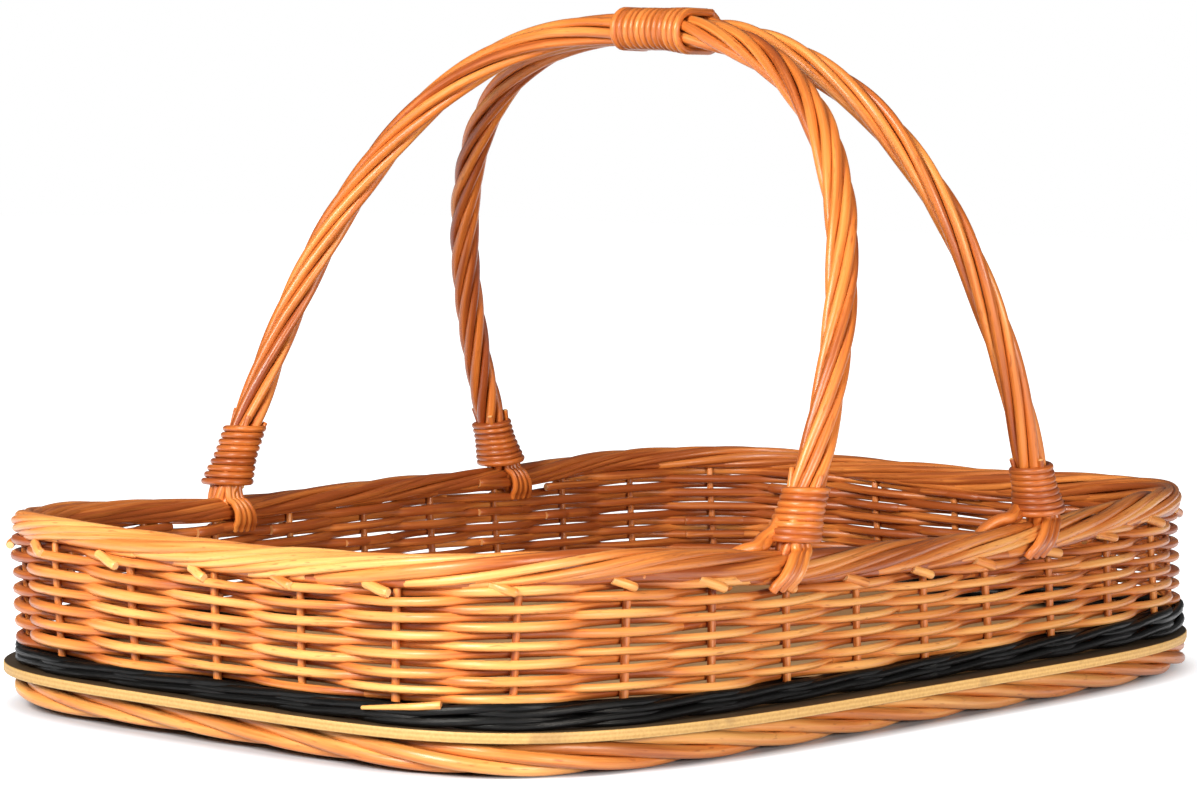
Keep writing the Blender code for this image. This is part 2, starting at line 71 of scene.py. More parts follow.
def smooth(share: np.ndarray | float) -> np.ndarray | float:
    """An even rise from 0 to 1, level at both ends."""
    share = np.clip(share, 0.0, 1.0)
    return (1 - np.cos(np.pi * share)) / 2


def unit(vectors: np.ndarray) -> np.ndarray:
    """The vectors with their length brought to 1."""
    return vectors / np.linalg.norm(vectors, axis=-1, keepdims=True)


def along(distance: np.ndarray, run: np.ndarray, points: np.ndarray) -> np.ndarray:
    """Points at distances along a path.

    Args:
        distance: The distances.
        run: How far along the path each of its points lies.
        points: The points of the path.

    Returns:
        One point for each distance.
    """
    return np.stack([np.interp(distance, run, points[:, axis]) for axis in range(3)], axis=1)


def through(four: Sequence[np.ndarray], share: np.ndarray | float) -> np.ndarray:
    """A smooth step from the second of four values to the third.

    Args:
        four: The value before, the two that the step joins, and the one after.
        share: How far the step has come, from 0 to 1.

    Returns:
        The values on the way.
    """
    before, here, after, later = four
    bend = 2 * before - 5 * here + 4 * after - later
    twist = 3 * here - before - 3 * after + later
    return 0.5 * (2 * here + (after - before) * share + bend * share**2 + twist * share**3)


def spline(control: np.ndarray, steps: int) -> np.ndarray:
    """A smooth path through control points.

    Args:
        control: The points.
        steps: How many points the path has for each stretch between two of them.

    Returns:
        The points of the path.
    """
    padded = np.concatenate(([2 * control[0] - control[1]], control, [2 * control[-1] - control[-2]]))
    rows = [through(padded[start:start + 4], share) for start in range(len(control) - 1)
            for share in np.linspace(0, 1, steps, endpoint=False)]
    return np.array([*rows, control[-1]])


def superellipse(half_length: float, half_width: float, power: float,
                 angles: np.ndarray) -> tuple[np.ndarray, np.ndarray]:
    """Points of a rounded rectangle and the outward directions there.

    Args:
        half_length: Half its length along X.
        half_width: Half its width along Y.
        power: How square its corners are.
        angles: Directions from the middle, in radians.

    Returns:
        Points and outward directions, both with a zero height.
    """
    cos, sin = np.cos(angles), np.sin(angles)
    long_part = np.abs(cos) / half_length
    wide_part = np.abs(sin) / half_width
    distance = (long_part**power + wide_part**power) ** (-1 / power)
    points = np.stack((distance * cos, distance * sin, 0 * cos), axis=1)
    slope_x = np.sign(cos) * long_part ** (power - 1) / half_length
    slope_y = np.sign(sin) * wide_part ** (power - 1) / half_width
    return points, unit(np.stack((slope_x, slope_y, 0 * cos), axis=1))


# Rods


@dataclass
class Rod:
    """One willow rod: its path, and its radius and its tone along it."""

    points: np.ndarray
    radii: np.ndarray
    tones: np.ndarray
    closed: bool = False


class RodBundle:
    """Rods that are skinned together into one piece.

    Attributes:
        END_RADIUS: Radius of a cut end as a share of the rod's.
        END_ROUND: How far from its end a rod has its full radius, as a share of it.
    """

    END_RADIUS = 0.86
    END_ROUND = 0.3

    def __init__(self, seed: int, tone_spread: float = 0.18) -> None:
        """Start an empty bundle with its own random draws."""
        self.rods: list[Rod] = []
        self.tone_spread = tone_spread
        self.random = np.random.default_rng(seed)

    def add(self, points: np.ndarray, radius: np.ndarray | float, taper: float = 1.0,
            tone: float | None = None, closed: bool = False, shade: np.ndarray | float = 0.0) -> None:
        """Add one rod.

        Args:
            points: Its path.
            radius: Its radius, before it tapers.
            taper: Its radius at the end as a share of that at the start.
            tone: From 0, deep, to 1, pale; drawn at random where it is not given.
            closed: Whether it runs back into its start.
            shade: What is added to the tone along it, mostly painted shade and painted light.
        """
        radii = radius * np.linspace(1.0, taper, len(points))
        if tone is None:
            tone = float(np.clip(self.random.normal(0.5, self.tone_spread), 0.0, 1.0))
        tones = np.clip(tone + np.broadcast_to(shade, radii.shape), 0.0, 1.0)
        if not closed:
            near = np.array((self.near_end(points[0], points[1], radii[0]),
                             self.near_end(points[-1], points[-2], radii[-1])))
            points = np.concatenate((points[:1], near[:1], points[1:-1], near[1:], points[-1:]))
            radii = np.concatenate((radii[:1], radii, radii[-1:]))
            radii[[0, -1]] *= self.END_RADIUS
            tones = np.concatenate((tones[:1], tones, tones[-1:]))
        self.rods.append(Rod(points, radii, tones, closed))

    def near_end(self, end: np.ndarray, inner: np.ndarray, radius: float) -> np.ndarray:
        """The point on the way from a cut end to its neighbour where the rod has its full radius."""
        step = inner - end
        return end + step * min(1.0, self.END_ROUND * radius / np.linalg.norm(step))

    def mesh(self, name: str) -> bpy.types.Mesh:
        """The paths as a mesh of edges with the attributes that the tree reads."""
        edges: list[tuple[int, int]] = []
        numbers: list[float] = []
        base = 0
        for rod in self.rods:
            count = len(rod.points)
            edges += [(base + step, base + step + 1) for step in range(count - 1)]
            if rod.closed:
                edges.append((base + count - 1, base))
            numbers += [float(self.random.random())] * count
            base += count
        mesh = bpy.data.meshes.new(name)
        mesh.from_pydata(np.concatenate([rod.points for rod in self.rods]).tolist(), edges, [])
        columns = {"rod_radius": np.concatenate([rod.radii for rod in self.rods]), "rod_number": numbers,
                   "rod_tone": np.concatenate([rod.tones for rod in self.rods])}
        for title, values in columns.items():
            attribute = mesh.attributes.new(title, "FLOAT", "POINT")
            attribute.data.foreach_set("value", np.asarray(values, dtype=np.float32))
        return mesh


# Node trees


class TreeBuilder:
    """Small helper that adds and joins the nodes of a tree."""

    def __init__(self, tree: bpy.types.NodeTree) -> None:
        """Work on a tree."""
        self.tree = tree

    def sockets(self, way: str, **kinds: str) -> None:
        """Add named inputs or outputs, in which an underscore stands for a space."""
        for name, kind in kinds.items():
            title = name.replace("_", " ")
            self.tree.interface.new_socket(title, in_out=way, socket_type="NodeSocket" + kind)

    def fill(self, node: bpy.types.Node, inputs: dict[str | int, Value]) -> None:
        """Give a node's inputs what they take: a socket to link, or a plain value."""
        for title, value in inputs.items():
            if isinstance(value, bpy.types.NodeSocket):
                self.tree.links.new(value, node.inputs[title])
            else:
                node.inputs[title].default_value = value

    def node(self, kind: str, inputs: dict[str | int, Value] | None = None,
             **settings: object) -> bpy.types.Node:
        """Add a node.

        Args:
            kind: Its type.
            inputs: What its inputs take.
            **settings: Its own settings.

        Returns:
            The new node.
        """
        node = self.tree.nodes.new(kind)
        for title, value in settings.items():
            setattr(node, title, value)
        self.fill(node, inputs or {})
        return node

    def math(self, operation: str, *values: Value, **settings: object) -> bpy.types.NodeSocket:
        """Work out a number from one to three others."""
        node = self.node("ShaderNodeMath", dict(enumerate(values)), operation=operation, **settings)
        return node.outputs[0]

    def scaled(self, vector: Value, scale: Value) -> bpy.types.NodeSocket:
        """A vector or a colour times a number."""
        return self.node("ShaderNodeVectorMath", {0: vector, "Scale": scale}, operation="SCALE").outputs[0]

    def parts(self, vector: Value) -> bpy.types.NodeOutputs:
        """The three numbers of a vector."""
        return self.node("ShaderNodeSeparateXYZ", {0: vector}).outputs

    def ramp(self, value: Value, low: float, high: float, to_low: Value = 0.0,
             to_high: Value = 1.0) -> bpy.types.NodeSocket:
        """A clamped stretch of a value.

        Args:
            value: The value.
            low: Where the stretch starts.
            high: Where it ends.
            to_low: What it gives up to its start.
            to_high: What it gives from its end on.

        Returns:
            The stretched value.
        """
        inputs = {"Value": value, "From Min": low, "From Max": high, "To Min": to_low, "To Max": to_high}
        return self.node("ShaderNodeMapRange", inputs).outputs[0]

    def mix(self, factor: Value, low: Value, high: Value) -> bpy.types.NodeSocket:
        """A colour between two others, each a socket or three numbers."""
        low, high = ((*colour, 1.0) if isinstance(colour, tuple) else colour for colour in (low, high))
        return self.node("ShaderNodeMix", {0: factor, 6: low, 7: high}, data_type="RGBA").outputs[2]

    def noise(self, place: Value, scale: float, detail: float, rough: float = 0.5) -> bpy.types.NodeSocket:
        """Noise in space."""
        inputs = {"Vector": place, "Scale": scale, "Detail": detail, "Roughness": rough}
        return self.node("ShaderNodeTexNoise", inputs).outputs[0]

    def outline(self, place: Value, halves: tuple[float, float], power: float) -> bpy.types.NodeSocket:
        """How far out a place lies in a rounded rectangle.

        Args:
            place: The place.
            halves: Half the length and half the width of the rectangle.
            power: How square its corners are.

        Returns:
            0 in the middle and 1 on the outline.
        """
        axes = self.parts(place)
        sizes = [self.math("ABSOLUTE", axes[axis]) for axis in (0, 1)]
        shares = [self.math("DIVIDE", size, half) for size, half in zip(sizes, halves)]
        return self.math("ADD", *(self.math("POWER", share, power) for share in shares))


def build_rod_tree() -> bpy.types.NodeTree:
    """The tree that gives every path its round rod."""
    make = TreeBuilder(bpy.data.node_groups.new("swept_rods", "GeometryNodeTree"))
    make.sockets("INPUT", Geometry="Geometry", Sides="Int", Wobble="Float", Swelling="Float", Seed="Float",
                 Material="Material")
    make.sockets("OUTPUT", Geometry="Geometry")
    enter = make.node("NodeGroupInput").outputs
    number, radius = (
        make.node("GeometryNodeInputNamedAttribute", {"Name": name}, data_type="FLOAT").outputs[0]
        for name in ("rod_number", "rod_radius"))
    place = make.node("GeometryNodeInputPosition").outputs[0]
    phase = make.math("MULTIPLY_ADD", number, 37.0, enter["Seed"])

    def drift(scale: float) -> bpy.types.NodeOutputs:
        """Slow noise along the rods, unlike from rod to rod."""
        inputs = {"Vector": place, "W": phase, "Scale": scale, "Detail": 1.0}
        return make.node("ShaderNodeTexNoise", inputs, noise_dimensions="4D").outputs

    def store(geometry: Value, name: str, value: Value, kind: str,
              domain: str = "POINT") -> bpy.types.NodeSocket:
        """Keep a value on the geometry."""
        inputs = {"Geometry": geometry, "Name": name, "Value": value}
        return make.node("GeometryNodeStoreNamedAttribute", inputs, data_type=kind, domain=domain).outputs[0]

    centred = {0: drift(38.0)["Color"], 1: (0.5, 0.5, 0.5)}
    bends = make.node("ShaderNodeVectorMath", centred, operation="SUBTRACT").outputs[0]
    bends = make.scaled(bends, enter["Wobble"])
    swell = make.math("SUBTRACT", drift(60.0)[0], 0.5)
    swell = make.math("MULTIPLY", make.math("MULTIPLY_ADD", swell, enter["Swelling"], 1.0), radius)
    curve = make.node("GeometryNodeMeshToCurve", {"Mesh": enter["Geometry"]}).outputs[0]
    curve = make.node("GeometryNodeSetPosition", {"Geometry": curve, "Offset": bends}).outputs[0]
    curve = store(curve, "rod_length", make.node("GeometryNodeSplineParameter").outputs["Length"], "FLOAT")
    inputs = {"Resolution": enter["Sides"], "Radius": 1.0}
    ring = make.node("GeometryNodeCurvePrimitiveCircle", inputs).outputs[0]
    ring = store(ring, "rod_across", place, "FLOAT_VECTOR")
    inputs = {"Curve": curve, "Profile Curve": ring, "Scale": swell, "Fill Caps": True}
    skin = make.node("GeometryNodeCurveToMesh", inputs).outputs[0]
    corners = make.node("GeometryNodeInputMeshFaceNeighbors").outputs["Vertex Count"]
    is_end = make.node("FunctionNodeCompare", {2: corners, 3: 4}, data_type="INT",
                       operation="GREATER_THAN").outputs[0]
    skin = store(skin, "cut_end", is_end, "FLOAT", "FACE")
    is_side = make.node("FunctionNodeBooleanMath", {0: is_end}, operation="NOT").outputs[0]
    skin = make.node("GeometryNodeSetShadeSmooth", {"Geometry": skin, "Shade Smooth": is_side}).outputs[0]
    solid = make.node("GeometryNodeRealizeInstances", {"Geometry": skin}).outputs[0]
    inputs = {"Geometry": solid, "Material": enter["Material"]}
    solid = make.node("GeometryNodeSetMaterial", inputs).outputs[0]
    make.node("NodeGroupOutput", {"Geometry": solid})
    return make.tree


def grow(name: str, mesh: bpy.types.Mesh, tree: bpy.types.NodeTree,
         values: dict[str, object]) -> bpy.types.Object:
    """Run a Geometry Nodes tree on a mesh and keep the result as a plain mesh.

    Args:
        name: Name of the finished piece.
        mesh: What the tree starts from.
        tree: The tree.
        values: A value for each named input.

    Returns:
        The finished piece, with no modifier left on it.
    """
    piece = bpy.data.objects.new(name, mesh)
    bpy.context.scene.collection.objects.link(piece)
    modifier = piece.modifiers.new(tree.name, "NODES")
    modifier.node_group = tree
    identifiers = {item.name: item.identifier for item in tree.interface.items_tree if item.in_out == "INPUT"}
    for title, value in values.items():
        modifier[identifiers[title]] = value
    evaluated = piece.evaluated_get(bpy.context.evaluated_depsgraph_get())
    finished = bpy.data.meshes.new_from_object(evaluated)
    finished.name = name
    piece.modifiers.clear()
    piece.data = finished
    bpy.data.meshes.remove(mesh)
    return piece


# Finishes


def build_bark_group() -> bpy.types.NodeTree:
    """Shader group with the streaks, patches and specks of a willow rod."""
    make = TreeBuilder(bpy.data.node_groups.new("willow_bark", "ShaderNodeTree"))
    make.sockets("INPUT", Across="Vector", Length="Float", Number="Float", Tone="Float", Cut_End="Float",
                 Pale="Color", Middle="Color", Deep="Color", Pith="Color")
    make.sockets("OUTPUT", Color="Color", Roughness="Float", Height="Float")
    enter = make.node("NodeGroupInput").outputs
    across = make.parts(enter["Across"])
    length = make.math("MULTIPLY_ADD", enter["Number"], 6.0, enter["Length"])
    place = make.node("ShaderNodeCombineXYZ", {0: across[0], 1: across[1], 2: length}).outputs[0]

    def grain(around: float, lengthwise: float, detail: float, rough: float) -> bpy.types.NodeSocket:
        """Noise drawn out along the rod."""
        inputs = {0: place, 1: (around, around, lengthwise)}
        stretched = make.node("ShaderNodeVectorMath", inputs, operation="MULTIPLY").outputs[0]
        return make.noise(stretched, 1.0, detail, rough)

    patches = make.ramp(grain(0.35, 16.0, 2.0, 0.5), 0.32, 0.68)
    streaks = make.ramp(grain(1.6, 22.0, 4.0, 0.6), 0.3, 0.72)
    fibres = grain(3.6, 60.0, 2.0, 0.5)
    specks = make.ramp(grain(1.9, 170.0, 1.0, 0.5), 0.66, 0.76)
    patch_weight, streak_weight = 0.45, 0.5
    tone = make.math("MULTIPLY_ADD", patches, patch_weight, enter["Tone"])
    tone = make.math("MULTIPLY_ADD", streaks, streak_weight, tone)
    tone = make.math("SUBTRACT", tone, (patch_weight + streak_weight) / 2, use_clamp=True)
    colour = make.mix(make.ramp(tone, 0.0, 0.5), enter["Deep"], enter["Middle"])
    colour = make.mix(make.ramp(tone, 0.5, 1.0), colour, enter["Pale"])
    colour = make.mix(make.math("MULTIPLY", specks, 0.55), colour, enter["Deep"])
    colour = make.mix(enter["Cut End"], colour, enter["Pith"])
    rough = make.math("MULTIPLY_ADD", enter["Cut End"], 0.4, make.ramp(fibres, 0.3, 0.7, 0.3, 0.46))
    height = make.math("MULTIPLY_ADD", streaks, 0.6, fibres)
    height = make.math("MULTIPLY_ADD", specks, 0.4, height)
    make.node("NodeGroupOutput", {"Color": colour, "Roughness": rough, "Height": height})
    return make.tree


def start_material(name: str) -> tuple[bpy.types.Material, TreeBuilder, bpy.types.Node]:
    """A new material, the builder of its nodes, and its shader."""
    material = bpy.data.materials.new(name)
    material.use_nodes = True
    return material, TreeBuilder(material.node_tree), material.node_tree.nodes["Principled BSDF"]


@dataclass(frozen=True)
class WillowFinish:
    """How one kind of rod is coloured and how it shines."""

    name: str
    slot: Slot
    pale: Colour
    middle: Colour
    deep: Colour
    pith: Colour
    coat: float
    coat_roughness: float
    bump: float
    specular: float = 0.45
    bump_distance: float = 0.0004

    def material(self, bark: bpy.types.NodeTree) -> bpy.types.Material:
        """Build the material around the shared bark group."""
        material, make, shader = start_material(self.name)
        inputs: dict[str | int, Value] = {"Pale": (*self.pale, 1.0), "Middle": (*self.middle, 1.0),
                                          "Deep": (*self.deep, 1.0), "Pith": (*self.pith, 1.0)}
        for title, attribute in (("Across", "rod_across"), ("Length", "rod_length"), ("Number", "rod_number"),
                                 ("Tone", "rod_tone"), ("Cut End", "cut_end")):
            reader = make.node("ShaderNodeAttribute", attribute_name=attribute)
            inputs[title] = reader.outputs["Vector" if title == "Across" else "Fac"]
        group = make.node("ShaderNodeGroup", inputs, node_tree=bark).outputs
        bump = make.node("ShaderNodeBump", {"Strength": self.bump, "Distance": self.bump_distance,
                                            "Height": group["Height"]})
        make.fill(shader, {"Base Color": group["Color"], "Roughness": group["Roughness"],
                           "Normal": bump.outputs[0], "Specular IOR Level": self.specular,
                           "Coat Weight": self.coat, "Coat Roughness": self.coat_roughness})
        material.diffuse_color = (*self.middle, 1.0)
        return material


BUFF = WillowFinish("buff_willow_rods", Slot.BUFF, pale=(0.88, 0.43, 0.125), middle=(0.70, 0.228, 0.046),
                    deep=(0.33, 0.072, 0.012), pith=(0.50, 0.22, 0.07), coat=0.22, coat_roughness=0.32,
                    bump=0.3)
BORDER = WillowFinish("buff_willow_border", Slot.BUFF, pale=(0.88, 0.44, 0.13), middle=(0.69, 0.225, 0.045),
                      deep=(0.33, 0.072, 0.012), pith=(0.88, 0.58, 0.26), coat=0.25, coat_roughness=0.3,
                      bump=0.35)
HANDLE = WillowFinish("handle_willow_rods", Slot.HANDLE, pale=(0.84, 0.345, 0.078),
                      middle=(0.67, 0.185, 0.029), deep=(0.31, 0.06, 0.009), pith=(0.84, 0.50, 0.20),
                      coat=0.3, coat_roughness=0.26, bump=0.35)
BLACK = WillowFinish("black_willow_rods", Slot.BLACK, pale=(0.009, 0.008, 0.009),
                     middle=(0.003, 0.003, 0.003), deep=(0.001, 0.001, 0.001), pith=(0.04, 0.038, 0.036),
                     coat=0.03, coat_roughness=0.3, bump=0.5, specular=0.2)


# The tray's own lines


@dataclass
class WallLine:
    """The line of the stakes, the heights of the wall, and how the real wall strays from them.

    Attributes:
        band_mm: Height of the black band at each stake.
        foot_shift: How far the foot of the wall stands off the line, along X and Y.
        settle_mm: How far the top border strays from its even rise at each stake.
        lean: How far each stake leans along the wall, as a share of its height.
        back_slim: How much thinner the top border is at the back.
        row_margins: What is left free above the black band and under the top border.
        fewer_steps: How many fewer steps than rows lie between the first row and the last.
    """

    half_length: float = 0.2305
    half_width: float = 0.1480
    corner_power: float = 5.4
    stakes: int = 32
    board_bottom: float = 0.0126
    board_top: float = 0.0166
    rim_height: float = 0.06405
    rim_radius: float = 0.0063
    full_rows: int = 11
    band_mm: tuple[float, ...] = (8.4, 8.8, 9.6, 10.6, 11.4, 11.2, 10.4, 9.6, 9.4, 9.2, *[9.0] * 10,
                                  8.6, 8.2, 7.6, 7.4, 7.7, 8.0, 8.4, 9.8, 9.4, 8.6, 8.1, 8.1)
    foot_shift: tuple[float, float] = (0.0011, -0.0026)
    corner_rise: float = 0.0080
    end_dip: float = 0.0027
    settle_mm: tuple[float, ...] = (0, 0.2, 0.2, 0, -0.4, -0.8, -1.0, -0.8, -0.6, -0.8, -1.2, -1.6, -1.6,
                                    -0.8, 0.8, 1.8, 1.0, 0, -1.8, -3.6, -4.6, -3.6, -2.0, -1.6, -1.2, -1.3,
                                    -1.2, 0.2, 0.3, -0.6, 0, 0.2)
    lean: tuple[float, ...] = (0.03, -0.03, 0.01, 0.04, -0.02, 0.02, 0.03, -0.02, 0.0, 0.03, -0.03, 0.02, 0.0,
                               -0.02, 0.03, 0.0, -0.03, 0.02, 0.03, -0.02, 0.0, 0.02, -0.02, 0.0, 0.03, 0.04,
                               0.07, 0.1, 0.1, 0.09, 0.06, 0.04)
    lean_height: float = 0.05
    back_slim: float = 0.0011
    row_margins: tuple[float, float] = (0.0009, 0.0014)
    fewer_steps: float = 0.9
    samples: int = 5760
    run: np.ndarray = field(init=False)
    points: np.ndarray = field(init=False)
    outwards: np.ndarray = field(init=False)

    def __post_init__(self) -> None:
        """Walk once round the line from the middle of the front."""
        angles = np.linspace(0, TURN, self.samples + 1) - math.pi / 2
        halves = (self.half_length, self.half_width)
        self.points, self.outwards = superellipse(*halves, self.corner_power, angles)
        steps = np.linalg.norm(np.diff(self.points, axis=0), axis=1)
        self.run = np.concatenate(([0.0], np.cumsum(steps)))

    @property
    def spacing(self) -> float:
        """Distance from stake to stake."""
        return float(self.run[-1]) / self.stakes

    def around(self, table: Sequence[float], place: np.ndarray) -> np.ndarray:
        """A smooth closed curve through one value for each stake."""
        values = np.asarray(table, dtype=float)
        low = np.floor(place).astype(int)
        return through([values[(low + step) % self.stakes] for step in (-1, 0, 1, 2)], place - low)

    def frame(self, place: np.ndarray) -> tuple[np.ndarray, np.ndarray, np.ndarray]:
        """Where the line is and how it faces.

        Args:
            place: Places counted in stakes from the middle of the front.

        Returns:
            Points on the line, outward and forward directions.
        """
        wanted = (place % self.stakes) * self.spacing
        outward = unit(along(wanted, self.run, self.outwards))
        return along(wanted, self.run, self.points), outward, np.cross(UP, outward)

    def rise(self, place: np.ndarray) -> np.ndarray:
        """How much higher the wall's top lies here than at the middle of a long side."""
        towards_end = np.abs((2 * place / self.stakes + 0.5) % 1 - 0.5) * 2
        climb = smooth((towards_end - 0.15) / 0.38)
        dip = smooth((towards_end - 0.66) / 0.34)
        return self.corner_rise * climb - self.end_dip * dip

    def rim(self, place: np.ndarray) -> np.ndarray:
        """Height of the middle of the top border."""
        return self.rim_height + self.rise(place) + self.around(self.settle_mm, place) / 1000

    def near(self, place: np.ndarray, middle: float, reach: float, fade: float) -> np.ndarray:
        """How near places lie to another.

        Args:
            place: The places.
            middle: The other place.
            reach: From how many stakes away on it gives 0.
            fade: Over how many stakes it rises to 1.

        Returns:
            A share from 0, far, to 1, near.
        """
        half = self.stakes / 2
        away = np.abs((place - middle + half) % self.stakes - half)
        return smooth((reach - away) / fade)

    def slim(self, place: np.ndarray) -> np.ndarray:
        """How much thinner the top border is here."""
        return self.back_slim * self.near(place, self.stakes / 2, 9, 3)

    def rows_at(self, place: np.ndarray) -> np.ndarray:
        """How many rows share the height of the wall, counting the short ones at ends and corners."""
        rows = np.full(np.shape(place), float(self.full_rows))
        for end in (self.stakes / 4, 3 * self.stakes / 4):
            rows += self.near(place, end, 5.4, 1.2)
            for side in (-3, 3):
                rows += self.near(place, end + side, 3.4, 1.0) * 0.8
        return rows

    def row_height(self, row: int, place: np.ndarray) -> np.ndarray:
        """Height of the middle of a row that is pressed between the black rows and the top border."""
        above_band, below_rim = self.row_margins
        first = self.board_top + self.around(self.band_mm, place) / 1000 + above_band
        room = self.rim(place) - self.rim_radius + 2 * self.slim(place) - first - below_rim
        return first + row * room / (self.rows_at(place) - self.fewer_steps)

    def painted_shade(self, place: np.ndarray) -> np.ndarray:
        """Painted shade where the lamp light falls off: from 0 at the front and the left end to 1 round the
        right end and the back.
        """
        turned = place % self.stakes
        return smooth((turned - 2) / 4) * (1 - smooth((turned - 20) / 3))

    def at(self, place: np.ndarray, out: np.ndarray | float, height: np.ndarray | float) -> np.ndarray:
        """Points at a place, a distance outwards and a height, on the leaning wall."""
        height = np.broadcast_to(height, place.shape)
        out = np.broadcast_to(out, place.shape)
        shift = np.clip(height - self.board_top, 0, self.lean_height) * self.around(self.lean, place)
        points, outward, _ = self.frame(place + shift / self.spacing)
        low = np.clip(1 - (height - self.board_top) / (self.rim_height - self.board_top - 0.006), 0, 1)
        return points + out[:, None] * outward + height[:, None] * UP + low[:, None] * (*self.foot_shift, 0.0)


@dataclass
class Workshop:
    """What every maker of a piece needs: the wall's line, the rod tree and the materials."""

    wall: WallLine
    tree: bpy.types.NodeTree
    bark: bpy.types.NodeTree
    made: dict[str, bpy.types.Material] = field(default_factory=dict)
    pieces: list[bpy.types.Object] = field(default_factory=list)

    def material(self, finish: WillowFinish) -> bpy.types.Material:
        """The material of a finish, built once."""
        if finish.name not in self.made:
            self.made[finish.name] = finish.material(self.bark)
        return self.made[finish.name]

    def rods(self, name: str, bundle: RodBundle, finish: WillowFinish, nodes: Iterable[str], sides: int = 9,
             wobble: float = 0.0003, swelling: float = 0.1) -> None:
        """Skin a bundle of rods and fix it to the frame.

        Args:
            name: Name of the piece.
            bundle: Its rods.
            finish: Their finish.
            nodes: The CAD nodes that it stands for.
            sides: Corners of a rod's section.
            wobble: How far a rod strays from its path.
            swelling: How much its thickness changes, as a share.
        """
        values = {"Sides": sides, "Wobble": wobble, "Swelling": swelling, "Seed": float(len(self.pieces)),
                  "Material": self.material(finish)}
        self.fix(grow(name, bundle.mesh(name), self.tree, values), nodes)

    def fix(self, piece: bpy.types.Object, nodes: Iterable[str]) -> None:
        """Ride a finished piece on the frame and hide what it stands for."""
        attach(piece, BODY)
        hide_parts(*nodes)
        self.pieces.append(piece)
        LOG.info("%s: %d faces", piece.name, len(piece.data.polygons))


# Base board


